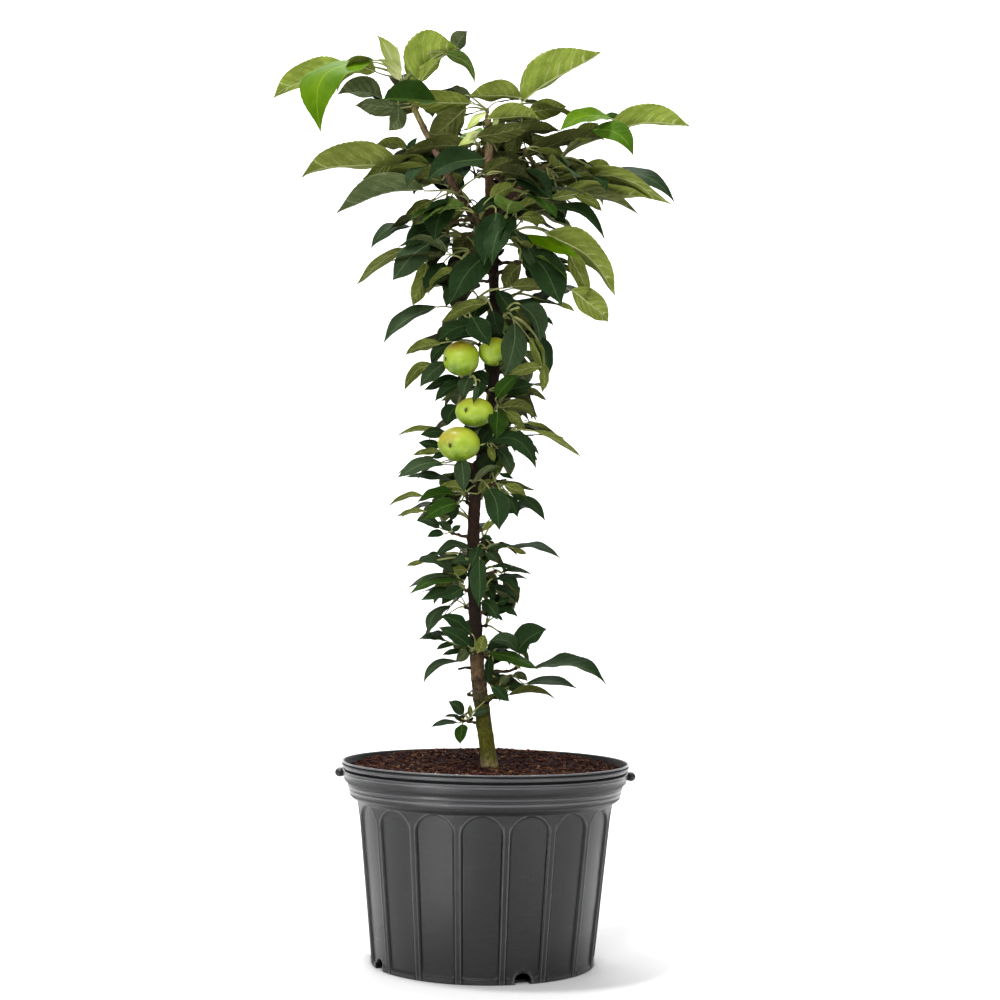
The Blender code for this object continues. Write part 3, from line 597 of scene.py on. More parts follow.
# Leaves that show from the front, in the front view's thousandths:
# base x, base y, tip x, tip y, reach above and below the midrib, U upper side or D underside,
# sag of the midrib, tone, depth of base and tip (mm).
SHOWN = [
    # crown head, left
    (350, 68, 272, 97, 18, 9, "D", 5, 2, 12, 0), (372, 62, 320, 129, 16, 17, "U", 29, 2, -5, -70),
    (374, 60, 334, 98, 4, 6, "D", 11, 1, -2, -40), (376, 72, 340, 70, 12, 6, "D", 4, 1, 0, -5),
    (382, 99, 337, 94, 16, 3, "D", 5, 4, 30, 20), (383, 101, 364, 83, 5, 5, "U", 1, 0, 35, 30),
    (400, 80, 379, 34, 9, 8, "D", 1, 3, -10, -20), (402, 79, 379, 58, 5, 4, "D", 2, 3, -14, -22),
    (399, 76, 397, 43, 2, 2, "U", 0, 3, 4, 6), (436, 102, 383, 100, 20, 3, "U", 2, 5, -25, -75),
    (472, 104, 404, 101, 13, 9, "D", 1, 1, -10, -28), (400, 108, 354, 104, 6, 11, "D", 1, 4, -5, -25),
    (398, 106, 389, 131, 9, 9, "D", -4, 4, -8, -25), (418, 105, 400, 110, 4, 6, "D", 0, 0, 5, 0),
    (419, 81, 459, 48, 30, 5, "D", 8, 2, -10, -26), (444, 52, 476, 84, 5, 6, "D", 8, 5, -26, -34), (421, 82, 441, 58, 7, 6, "D", 2, 2, -22, -30),
    (417, 82, 404, 62, 5, 5, "D", 0, 2, -6, -16), (454, 48, 467, 31, 10, 8, "D", 0, 4, -22, -12),
    (470, 100, 450, 89, 5, 4, "D", 3, 4, 12, 10), (464, 110, 428, 144, 14, 14, "D", 1, 0, -5, -30),
    (462, 98, 455, 128, 7, 7, "D", 0, 1, 4, 0), (474, 144, 400, 153, 9, 8, "D", 2, 0, -16, -22),
    (402, 168, 300, 175, 24, 3, "D", 7, 1, 10, -8), (408, 149, 374, 146, 9, 4, "D", 2, 1, 20, 20),
    (407, 150, 417, 137, 3, 3, "U", 0, 4, -4, -6), (396, 160, 362, 180, 6, 8, "D", 0, 1, 0, -5),
    (425, 191, 336, 215, 19, 3, "D", 9, 4, -10, -34), (438, 168, 368, 188, 8, 3, "D", 5, 1, -5, -14),
    (425, 178, 386, 184, 7, 8, "U", 2, 0, 5, -5), (443, 180, 404, 180, 10, 6, "D", 2, 0, 0, -8),
    (484, 159, 427, 179, 16, 9, "U", 6, 0, -50, -92), (438, 166, 413, 165, 6, 4, "U", 3, 0, 10, 0),
    (432, 201, 403, 221, 6, 8, "D", 3, 1, -10, -24), (450, 198, 434, 241, 15, 12, "U", 3, 0, -40, -78),
    (468, 205, 446, 237, 5, 5, "D", 5, 0, -20, -30), (412, 227, 371, 248, 6, 6, "U", 10, 4, -10, -38),
    (434, 228, 405, 247, 10, 9, "U", 3, 0, -20, -52), (405, 249, 357, 287, 5, 6, "D", 6, 1, -20, -42),
    (430, 243, 392, 280, 12, 14, "U", 3, 4, -40, -62), (450, 236, 411, 263, 11, 10, "U", 3, 0, -15, -38),
    (426, 262, 412, 306, 9, 8, "D", -2, 1, -30, -45), (444, 262, 424, 289, 10, 11, "U", 0, 0, -20, -40),
    (456, 269, 428, 297, 5, 3, "D", 6, 1, -25, -42), (450, 243, 425, 262, 5, 5, "D", 2, 0, -18, -26),
    (492, 249, 450, 303, 14, 16, "U", 4, 4, -50, -84), (456, 283, 446, 307, 8, 6, "U", 0, 0, -20, -32),
    (496, 212, 484, 265, 16, 12, "U", 0, 0, -56, -86), (513, 215, 490, 263, 11, 13, "U", 5, 0, -60, -100),
    (472, 232, 452, 257, 9, 7, "D", 0, 0, 10, 0),
    # crown head, right
    (522, 99, 468, 97, 16, 4, "D", 3, 1, -20, -36), (521, 104, 602, 52, 27, 3, "D", 3, 2, -15, -36),
    (487, 119, 540, 118, 14, 5, "D", 2, 1, -38, -60), (528, 113, 567, 107, 11, 10, "D", 1, 1, 5, 5),
    (476, 138, 532, 126, 9, 9, "D", 1, 0, -45, -64), (508, 141, 561, 131, 9, 6, "D", 7, 0, -10, -14),
    (521, 157, 606, 137, 9, 7, "D", 6, 0, -20, -30), (612, 119, 560, 132, 9, 7, "U", 10, 2, -35, -60),
    (626, 121, 604, 115, 3, 4, "U", 2, 5, 2, 0), (575, 141, 599, 123, 8, 8, "D", 1, 1, -20, -34),
    (592, 129, 634, 153, 12, 8, "U", 8, 8, -30, -55), (607, 130, 691, 125, 19, 2, "D", 4, 2, -15, -30),
    (574, 143, 608, 138, 6, 2, "D", 3, 0, -5, -10), (546, 167, 582, 171, 8, 5, "D", 5, 0, 0, 0),
    (584, 177, 614, 171, 10, 3, "D", 5, 1, 10, 10), (553, 179, 673, 204, 7, 14, "D", 14, 1, -30, -56),
    (548, 198, 652, 195, 13, 2, "D", 3, 1, -20, -34), (604, 171, 675, 202, 7, 8, "U", 12, 0, -10, -34),
    (566, 197, 640, 216, 7, 5, "D", 11, 0, -15, -34), (574, 194, 603, 211, 5, 6, "D", 2, 1, -18, -24),
    (516, 179, 552, 200, 17, 6, "U", 4, 0, -45, -62), (536, 212, 605, 240, 6, 6, "U", 18, 0, -30, -52),
    (550, 212, 566, 224, 6, 4, "U", 1, 0, -10, -14), (508, 213, 550, 200, 5, 3, "D", 3, 1, -35, -44),
    (521, 217, 547, 224, 6, 6, "D", 3, 1, -25, -34), (482, 174, 514, 160, 8, 7, "D", 2, 0, -20, -32),
    (490, 198, 516, 184, 8, 7, "D", 1, 1, -25, -34), (527, 235, 580, 258, 6, 7, "U", 3, 2, -45, -72),
    (545, 232, 617, 295, 17, 10, "D", 9, 1, -25, -58), (524, 251, 561, 305, 19, 13, "U", 6, 4, -55, -92),
    (569, 251, 588, 301, 9, 8, "D", 2, 1, -30, -46), (571, 290, 610, 322, 14, 11, "D", 2, 1, -35, -56),
    (512, 301, 562, 306, 3, 3, "U", 2, 0, -10, -14), (556, 304, 575, 312, 2, 3, "D", 2, 1, -12, -14),
    (521, 264, 503, 289, 9, 9, "D", 2, 0, -30, -44), (511, 287, 546, 290, 8, 6, "D", 3, 0, -35, -46),
    (497, 290, 512, 320, 9, 8, "U", 2, 0, -10, -20), (528, 262, 538, 290, 8, 8, "U", 2, 0, -6, -16),
    (505, 120, 480, 146, 8, 8, "D", 1, 0, -10, -16), (520, 130, 508, 158, 9, 8, "D", 1, 0, 10, 6),
    (545, 180, 566, 190, 6, 5, "U", 1, 0, -4, -6), (500, 200, 474, 214, 8, 6, "U", 2, 0, -12, -20),
    (486, 112, 466, 130, 4, 4, "U", 1, 3, -30, -42), (484, 131, 458, 146, 4, 5, "U", 1, 3, -28, -40),
    (494, 128, 500, 112, 3, 3, "U", 1, 3, -34, -38), (465, 170, 448, 190, 6, 5, "D", 1, 0, 0, -5),
    (525, 177, 500, 151, 9, 8, "D", 2, 6, -4, -14), (497, 151, 484, 127, 8, 7, "D", 1, 0, 8, 4),
    (513, 236, 540, 262, 7, 6, "D", 3, 6, 14, 10), (560, 168, 540, 150, 7, 6, "D", 2, 0, 4, 0),
    # above and beside the fruit
    (438, 307, 384, 344, 9, 6, "U", 8, 4, -20, -38), (486, 303, 440, 322, 6, 7, "D", 4, 1, -30, -44),
    (485, 304, 450, 313, 4, 3, "D", 2, 1, -26, -34), (478, 322, 437, 342, 9, 6, "U", 4, 4, -50, -66),
    (441, 343, 404, 354, 7, 4, "D", 2, 1, 0, -10), (433, 364, 404, 391, 6, 6, "D", 7, 1, 0, -12),
    (447, 362, 420, 387, 8, 8, "U", 3, 4, -10, -24), (464, 381, 424, 391, 7, 4, "U", 4, 0, 5, 0),
    (461, 382, 434, 400, 7, 5, "U", 1, 0, -5, -12), (466, 384, 441, 402, 3, 3, "D", 0, 4, -12, -18),
    (457, 405, 447, 425, 10, 8, "U", 2, 0, 5, 0), (471, 316, 490, 345, 12, 11, "U", 0, 0, -58, -66),
    (492, 310, 500, 336, 9, 9, "U", 0, 6, -40, -44), (514, 323, 506, 376, 14, 11, "U", 3, 4, -58, -72),
    (541, 367, 507, 376, 6, 6, "D", 3, 1, -20, -34), (520, 304, 541, 341, 13, 8, "U", 5, 4, -40, -62),
    (545, 316, 553, 324, 2, 2, "U", 0, 0, -44, -46), (513, 304, 531, 332, 7, 7, "D", 0, 0, 0, 0),
    (530, 330, 548, 377, 7, 7, "U", 6, 0, -5, -18), (529, 338, 545, 372, 6, 7, "D", 2, 1, -14, -24),
    (544, 362, 543, 393, 5, 5, "D", 1, 1, -18, -24), (496, 398, 518, 374, 8, 7, "U", 1, 5, -30, -42),
    (504, 393, 533, 385, 9, 7, "U", 2, 0, -10, -22), (524, 389, 547, 401, 3, 3, "D", 2, 0, -14, -18),
    (500, 408, 537, 423, 6, 5, "D", 10, 0, -20, -34), (505, 411, 526, 430, 5, 6, "D", 2, 1, -10, -18),
    (497, 411, 497, 439, 11, 9, "U", 0, 5, -30, -50), (527, 423, 556, 435, 3, 3, "D", 2, 1, -10, -16),
    (534, 431, 583, 457, 3, 4, "D", 3, 1, -15, -22), (484, 444, 536, 468, 9, 9, "U", 18, 0, -40, -66),
    (497, 448, 512, 472, 7, 6, "U", 2, 4, -24, -34), (488, 446, 494, 462, 4, 4, "D", 1, 1, -30, -36),
    (486, 372, 494, 350, 5, 6, "U", 0, 0, 12, 10), (474, 372, 490, 386, 7, 7, "U", 1, 0, 4, -4),
    (470, 376, 462, 398, 8, 7, "U", 1, 4, -22, -36), (480, 381, 478, 399, 6, 6, "U", 0, 0, -24, -38),
    (452, 340, 430, 362, 7, 6, "U", 2, 0, 8, 4), (466, 331, 486, 343, 4, 4, "U", 1, 0, -2, -6),
    (476, 385, 474, 404, 3, 3, "U", 0, 4, -60, -66), (448, 340, 476, 336, 6, 4, "U", 2, 0, -6, -10),
    (488, 421, 460, 433, 6, 6, "U", 2, 0, -4, -12), (492, 424, 478, 452, 7, 7, "U", 1, 6, -18, -26),
    (492, 452, 478, 470, 6, 6, "U", 1, 6, -18, -24), (486, 330, 506, 344, 6, 6, "U", 2, 6, -10, -14),
    # lower tiers, left
    (445, 431, 395, 435, 3, 3, "D", 3, 1, -5, -12), (447, 433, 420, 434, 4, 7, "U", 2, 0, -15, -24),
    (441, 446, 418, 442, 5, 5, "U", 0, 0, -6, -12), (441, 451, 412, 455, 3, 4, "D", 2, 1, -8, -12),
    (445, 452, 432, 458, 3, 4, "U", 0, 0, -10, -12),
    (442, 463, 398, 479, 8, 6, "U", 6, 4, -30, -52), (453, 482, 405, 479, 5, 3, "U", 6, 0, -10, -18),
    (462, 458, 464, 492, 9, 8, "U", 0, 4, -30, -48), (466, 490, 437, 488, 5, 5, "D", 3, 1, -14, -20),
    (424, 496, 387, 506, 3, 3, "D", 5, 1, -15, -24), (456, 495, 417, 502, 7, 4, "U", 4, 5, -20, -32),
    (458, 504, 424, 520, 9, 8, "U", 4, 5, -30, -52), (426, 511, 395, 516, 3, 2, "D", 2, 1, -14, -20),
    (440, 528, 416, 521, 5, 5, "U", 4, 4, -4, -10), (457, 505, 450, 521, 4, 5, "U", 0, 0, -12, -18),
    (452, 530, 438, 521, 4, 4, "U", 0, 4, -8, -12), (444, 534, 427, 537, 4, 4, "U", 2, 0, -6, -10),
    (452, 531, 461, 525, 3, 3, "U", 0, 4, -8, -10), (472, 549, 435, 556, 6, 3, "U", 7, 4, -10, -30),
    (455, 573, 418, 562, 6, 4, "U", 5, 4, -20, -32), (424, 562, 406, 566, 2, 2, "D", 1, 1, -26, -30),
    (471, 562, 452, 563, 6, 4, "U", 2, 4, -20, -28), (467, 570, 449, 569, 4, 6, "D", 0, 1, -14, -18),
    (463, 580, 409, 592, 6, 5, "U", 6, 5, -20, -44), (458, 577, 407, 588, 3, 3, "U", 7, 4, -14, -30),
    (463, 591, 421, 601, 7, 6, "U", 3, 0, -30, -52), (463, 588, 441, 604, 8, 6, "U", 1, 0, -35, -52),
    (450, 605, 427, 634, 6, 6, "U", 6, 4, -20, -42), (472, 634, 441, 616, 7, 8, "U", 3, 0, -30, -52),
    (468, 646, 439, 627, 8, 7, "U", 2, 0, -35, -56), (447, 641, 419, 638, 3, 3, "U", 3, 0, 0, -10),
    (455, 644, 436, 650, 3, 3, "U", 2, 0, 2, -2), (462, 650, 442, 655, 3, 3, "U", 1, 0, -2, -8),
    (470, 650, 455, 661, 5, 6, "D", 0, 4, -12, -18), (459, 661, 423, 682, 5, 4, "U", 7, 4, -5, -26),
    (464, 714, 449, 701, 6, 6, "U", 1, 4, -10, -26), (462, 719, 444, 717, 2, 2, "U", 3, 0, -8, -14),
    (458, 723, 431, 728, 3, 3, "U", 3, 0, -5, -20), (462, 724, 460, 744, 7, 6, "U", 0, 5, -5, -22),
    (472, 716, 490, 709, 3, 4, "U", 1, 4, -16, -20), (470, 717, 470, 704, 2, 2, "D", 0, 1, -10, -12),
    # lower tiers, right
    (499, 473, 514, 479, 2, 3, "U", 1, 0, -8, -10), (497, 484, 536, 492, 3, 3, "D", 4, 0, -10, -22),
    (504, 485, 527, 499, 6, 5, "D", 2, 1, -15, -28), (510, 494, 545, 521, 6, 5, "U", 6, 4, -20, -48),
    (489, 488, 499, 530, 13, 12, "U", 3, 0, -60, -92), (503, 495, 518, 517, 6, 6, "U", 3, 0, -30, -48),
    (474, 482, 500, 466, 3, 4, "D", 4, 4, -40, -44), (479, 493, 493, 478, 6, 5, "D", 0, 0, -8, -14),
    (484, 531, 497, 521, 3, 3, "D", 2, 1, -10, -16), (482, 536, 493, 540, 2, 3, "U", 1, 0, -8, -10),
    (487, 549, 513, 546, 3, 4, "U", 3, 4, -12, -18), (508, 547, 560, 560, 4, 4, "U", 9, 0, -20, -42),
    (513, 548, 527, 554, 2, 3, "D", 0, 1, -16, -20), (478, 546, 472, 567, 7, 7, "U", 0, 4, -30, -48),
    (480, 559, 479, 607, 9, 8, "U", 0, 0, -45, -76), (486, 552, 498, 561, 5, 5, "U", 1, 4, -10, -16),
    (492, 567, 513, 569, 2, 3, "U", 3, 4, -10, -16), (500, 573, 532, 575, 3, 2, "U", 4, 0, -14, -24),
    (497, 575, 528, 579, 2, 3, "U", 1, 0, -8, -12), (492, 579, 519, 593, 5, 4, "U", 7, 4, -15, -36),
    (488, 586, 518, 600, 3, 4, "U", 5, 0, -8, -20), (484, 580, 495, 601, 6, 6, "U", 0, 0, 2, -4),
    (497, 603, 510, 598, 3, 4, "U", 0, 0, -6, -10), (494, 611, 518, 617, 4, 3, "U", 4, 0, -10, -22),
    (482, 600, 498, 620, 7, 7, "U", 2, 0, -30, -46), (496, 613, 503, 621, 2, 2, "U", 0, 0, -12, -14),
    (519, 653, 489, 641, 9, 5, "U", 6, 4, -15, -26), (516, 652, 547, 629, 15, 8, "U", 3, 4, -14, -30),
    (487, 650, 511, 649, 5, 3, "U", 4, 4, -5, -8), (489, 652, 538, 670, 6, 6, "U", 3, 5, -20, -38),
    (532, 668, 607, 682, 9, 5, "U", 10, 4, -20, -44), (525, 684, 577, 690, 5, 5, "U", 6, 0, -10, -26),
    (512, 676, 528, 681, 4, 4, "D", 3, 4, -6, -10), (508, 695, 557, 700, 5, 2, "D", 7, 0, -25, -40),
    (492, 686, 509, 702, 6, 6, "U", 1, 0, -25, -40), (508, 690, 524, 685, 4, 4, "U", 1, 0, -8, -12),
    (494, 677, 500, 678, 2, 2, "U", 0, 0, -8, -10), (489, 656, 488, 685, 5, 4, "U", 0, 0, -12, -18),
    (478, 653, 485, 634, 6, 6, "D", 0, 1, -15, -26), (472, 655, 466, 634, 5, 4, "U", 0, 0, -10, -14),
    (500, 684, 511, 676, 4, 4, "D", 1, 4, -18, -22), (484, 702, 497, 694, 2, 3, "D", 1, 0, -16, -20),
]
LOWER_HEIGHT, HEAD_HEIGHT, CROWN_HEIGHT = 0.690, 0.945, 1.030  # the leaves are joined in four pieces, split at these heights

leaves = []
for index, (bx, by, tx, ty, up, down, face, sag, tone, base_depth, tip_depth) in enumerate(SHOWN):
    rng = random.Random(SEED * 1000 + index)
    if face == "D":
        up, down = max(up, 2.6), max(down, 2.6)
        if tone == 1 and by < 330 and (tx > 555 or by < 122):
            tone = 7  # undersides out in the light
    elif tone == 4 and rng.random() < 0.35:
        tone = 0
    scale = (EYE[1] * -1 + base_depth / 1000.0) / FOCAL  # metres per thousandth at this depth
    leaves.append(
        Leaf(at(bx, by, base_depth), at(tx, ty, tip_depth), up * scale, down * scale, face, sag * scale, tone, rng)
    )

# The part of the front view that the table's leaves cover, for the rule below to stay within.
covered = np.zeros((1000, 1000), bool)


def mark(points, reach):
    for x, y in seen(points).round().astype(int):
        covered[max(y - reach, 0) : y + reach + 1, max(x - reach, 0) : x + reach + 1] = True


for leaf in leaves:
    mark(leaf.sheet[::1].reshape(-1, 3), 2)
for limb_path, _ in LIMBS.values():
    mark(limb_path, 5)


def nearest_on_limbs(point, allowed=None):
    """The place a spur to this point leaves its limb: a little below it."""
    best = None
    for name, (path, radii) in LIMBS.items():
        if allowed and name not in allowed:
            continue
        reach = np.linalg.norm(path - point, axis=1)
        below = point[2] - path[:, 2]
        cost = reach + np.where(below < 0.25 * reach, 0.35 * (0.25 * reach - below), 0) + np.maximum(below - 0.8 * reach, 0) * 0.4
        i = int(np.argmin(cost))
        if best is None or cost[i] < best[0]:
            best = (cost[i], name, i, path[i], radii[i])
    return best


hubs = [at(x, y, depth) for x, y, depth in HUBS]
FRONT_HUBS = len(hubs)

# More knuckles behind, spiralling up the limbs.
grow = random.Random(SEED)
angle = 0.6
for height in np.arange(0.335, 1.085, 0.0225):
    angle += math.radians(137.5)
    turn = angle % (2 * math.pi)
    if math.sin(turn) < -0.15:
        turn = -turn
    reach = np.interp(height, [0.33, 0.45, 0.6, 0.75, 0.9, 1.0, 1.08], [0.014, 0.016, 0.020, 0.028, 0.042, 0.056, 0.060])
    reach *= grow.uniform(0.75, 1.2)
    x, y = (np.interp(height, TRUNK_PATH[:, 2], TRUNK_PATH[:, k]) for k in (0, 1))
    hubs.append(np.array([x + reach * math.cos(turn), y + abs(reach * math.sin(turn)) + 0.006, height + 0.35 * reach]))
for limb_name, count, spread in (("bough_back", 6, 0.05), ("bough_left", 5, 0.040), ("bough_right", 4, 0.040)):
    path = LIMBS[limb_name][0]
    for i in range(count):
        origin = path[int((0.25 + 0.75 * i / (count - 1)) * (len(path) - 1))]
        hubs.append(origin + np.array([grow.uniform(-spread, spread), grow.uniform(0.2, 1.0) * spread, grow.uniform(0.1, 0.7) * spread]))

# A few that reach to the front of the head.
NEAR_HUBS = len(hubs)
for x, y, depth in (
    (468, 128, -30), (500, 128, 30), (526, 150, -34), (452, 168, -30), (486, 176, -42), (520, 196, -40), (446, 222, -34),
    (474, 214, -44), (506, 222, -40), (466, 262, -36), (520, 262, -36), (486, 96, 34), (520, 118, -26), (548, 178, -26),
):
    hubs.append(at(x, y, depth))
# Places of the front view that those leave open: the fruit, the stem and the undersides of the head.
kept = np.zeros((1000, 1000), bool)
kept[236:316, 480:504] = True
kept[334:384, 436:508] = True
kept[84:136, 436:560] = True

# Leaves of the rest of the crown, grown out of those knuckles.
TARGETS = []  # (hub index, how many)
for i, hub in enumerate(hubs):
    if i < FRONT_HUBS:
        TARGETS.append((i, 2 if hub[2] > 0.6 else 1))
    elif i >= NEAR_HUBS:
        TARGETS.append((i, 2))
    else:
        TARGETS.append((i, 7 if hub[2] > 0.9 else 6))
AXIS_X = lambda z: np.interp(z, TRUNK_PATH[:, 2], TRUNK_PATH[:, 0])


def grown_leaf(hub, rng, front):
    """A leaf out of this knuckle on a seeded heading, or None if it would close a gap."""
    away = np.array([hub[0] - AXIS_X(hub[2]), hub[1], 0.0])
    base_turn = math.atan2(away[1], away[0]) if np.linalg.norm(away) > 0.004 else rng.uniform(0, 6.283)
    heading = base_turn + rng.gauss(0, 1.0)
    if math.sin(heading) < -0.35 and not front:
        heading = -heading
    rise = rng.gauss(0.15, 0.42)
    size = rng.uniform(0.046, 0.078) * (1.08 if hub[2] > 0.85 else 0.86 if hub[2] < 0.55 else 1.0)
    direction = unit(np.array([math.cos(heading), math.sin(heading), rise]))
    stalk = rng.uniform(0.014, 0.028)
    base = hub + direction * stalk + np.array([0, 0, 0.15 * stalk])
    droop = rng.uniform(0.15, 0.6)
    tip = base + unit(direction + np.array([0, 0, -droop])) * size
    if hub[1] > 0.004 and tip[1] < -0.002 and not front:
        return None
    middle = 0.5 * (base + tip)
    # The blade faces up and out from the trunk.
    viewer = middle + np.array([0.35 * math.cos(heading), 0.35 * math.sin(heading), 1.0]) + np.array([rng.uniform(-0.35, 0.35) for _ in range(3)])
    half = rng.uniform(0.25, 0.30) * size
    fold = rng.uniform(0.80, 0.99)
    # Leaves close to the stem mostly take tone 6, painted shade.
    if front and middle[2] > 1.0:
        tone = rng.choices((1, 7, 4, 0), (4, 2, 2, 2))[0]
    elif front:
        tone = rng.choices((0, 4, 6, 5), (4, 3, 2, 1))[0]
    elif np.hypot(middle[0] - AXIS_X(middle[2]), middle[1]) < 0.045:
        tone = rng.choices((6, 0, 4), (5, 4, 1))[0]
    else:
        tone = rng.choices((0, 5, 4, 6, 2), (6, 2, 2, 2, 1.5 if hub[2] > 1.0 else 0))[0]
    leaf = Leaf(base, tip, half * fold, half * fold * rng.uniform(0.9, 1.0), "U", 0.0, tone, rng, viewer=viewer, bulge=rng.uniform(0.05, 0.14) * size)
    places = seen(leaf.outline()).round().astype(int)
    if (places < 0).any() or (places > 999).any():
        return None
    inside = covered[places[:, 1], places[:, 0]].mean()
    if inside < 0.93:
        return None
    if front and 0.5 * (base + tip)[1] < 0.0 and kept[places[:, 1], places[:, 0]].any():
        return None
    if leaf.sheet[..., 2].min() < 0.262:
        return None
    return leaf


grown, leaf_hub = [], {}
for i, wanted in TARGETS:
    rng = random.Random(SEED * 77 + i)
    found = 0
    for attempt in range(60):
        if found >= wanted:
            break
        leaf = grown_leaf(hubs[i], rng, (i < FRONT_HUBS and attempt < 20) or i >= NEAR_HUBS)
        if leaf is None:
            continue
        if i < FRONT_HUBS and 0.5 * (leaf.base + leaf.tip)[1] < 0.0:
            continue
        if i >= NEAR_HUBS and leaf.tip[1] > hubs[i][1]:
            continue
        leaf_hub[len(leaves) + len(grown)] = i
        grown.append(leaf)
        found += 1
leaves += grown

# ------------------------------------------------------- petioles and spurs

wood = Soup()  # slots: 0 spur bark, 1 petiole green, 2 dead stub
used = set()
for index, leaf in enumerate(leaves):
    if index in leaf_hub:
        hub_index = leaf_hub[index]
    else:
        costs = []
        for i, hub in enumerate(hubs[:FRONT_HUBS]):
            gap = leaf.base - hub
            away = np.linalg.norm(gap)
            turned = 1 - (gap @ leaf.start) / max(away, 1e-6)
            costs.append(away * (1 + 0.45 * turned) + 0.004 * turned)
        hub_index = int(np.argmin(costs))
    used.add(hub_index)
    hub = hubs[hub_index]
    span = np.linalg.norm(leaf.base - hub)
    rng = random.Random(SEED * 31 + index)
    first = unit(0.6 * unit(leaf.base - hub) + np.array([0, 0, 0.5]) + np.array([rng.uniform(-0.2, 0.2) for _ in range(3)]))
    inner = leaf.base + leaf.start * 0.0015
    path = bezier(hub, hub + first * span * 0.35, inner - leaf.start * span * 0.4, inner, 9)
    thick = np.linspace(0.0011, 0.00065, 9) * (1.0 + min(span / 0.09, 0.8))
    add_tube(wood, path, thick, 6, 1)

spur_places = []
for index, hub in enumerate(hubs):
    if index not in used:
        continue
    _, limb_name, i, origin, limb_radius = nearest_on_limbs(hub)
    span = np.linalg.norm(hub - origin)
    if span < limb_radius * 0.9:
        continue
    rng = random.Random(SEED * 13 + index)
    path_t = LIMBS[limb_name][0]
    grow_dir = unit(path_t[min(i + 1, len(path_t) - 1)] - path_t[max(i - 1, 0)])
    out = unit(hub - origin - grow_dir * ((hub - origin) @ grow_dir))
    steps = 5 + int(span / 0.006)
    path = bezier(origin, origin + (0.75 * out + 0.35 * grow_dir) * span * 0.5, hub - unit(out + 0.6 * grow_dir) * span * 0.25, hub, steps)
    kink = np.array([[rng.gauss(0, 0.0006) for _ in range(3)] for _ in range(steps)])
    kink[0] = kink[-1] = 0
    path = path + kink
    thick = np.linspace(min(0.0034, 0.0021 + span * 0.018), 0.0017, steps)
    thick *= 1 + 0.16 * np.sin(np.arange(steps) * 2.4 + index)  # ring scars
    thick[0] *= 1.35
    add_tube(wood, path, thick, 9, 0)
    # The knuckle: a scaly bud base that the petioles spring from.
    knob = path[-1] + np.array([0, 0, 0.0])
    lift = unit(path[-1] - path[-2])
    add_tube(wood, np.array([knob - lift * 0.003, knob - lift * 0.0012, knob + lift * 0.0008, knob + lift * 0.0026]), [0.0018, 0.0029, 0.0027, 0.0010], 8, 0)
    spur_places.append((hub, origin, limb_radius, limb_name))

# A dead stub on the left of the stem and a stout old spur on the right.
add_tube(wood, np.array([at(471, 668, -3), at(465, 667.5, -4), at(459.5, 669, -5), at(457.8, 669, -5)]), [0.0024, 0.0016, 0.0016, 0.0011], 8, 2)
add_tube(wood, np.array([at(480, 706, -8), at(487, 701, -11), at(493, 696.5, -10), at(497, 696, -9)]), [0.0040, 0.0034, 0.0028, 0.0022], 9, 2)
add_tube(wood, np.array([at(479, 626, -2), at(481.5, 626, -3), at(482.6, 627, -3)]), [0.0030, 0.0026, 0.0012], 8, 2)
add_tube(wood, np.array([at(473, 718, -4), at(469, 721, -6), at(462, 721, -8)]), [0.0020, 0.0013, 0.0010], 8, 2)

# --------------------------------------------------- bark relief on the limbs

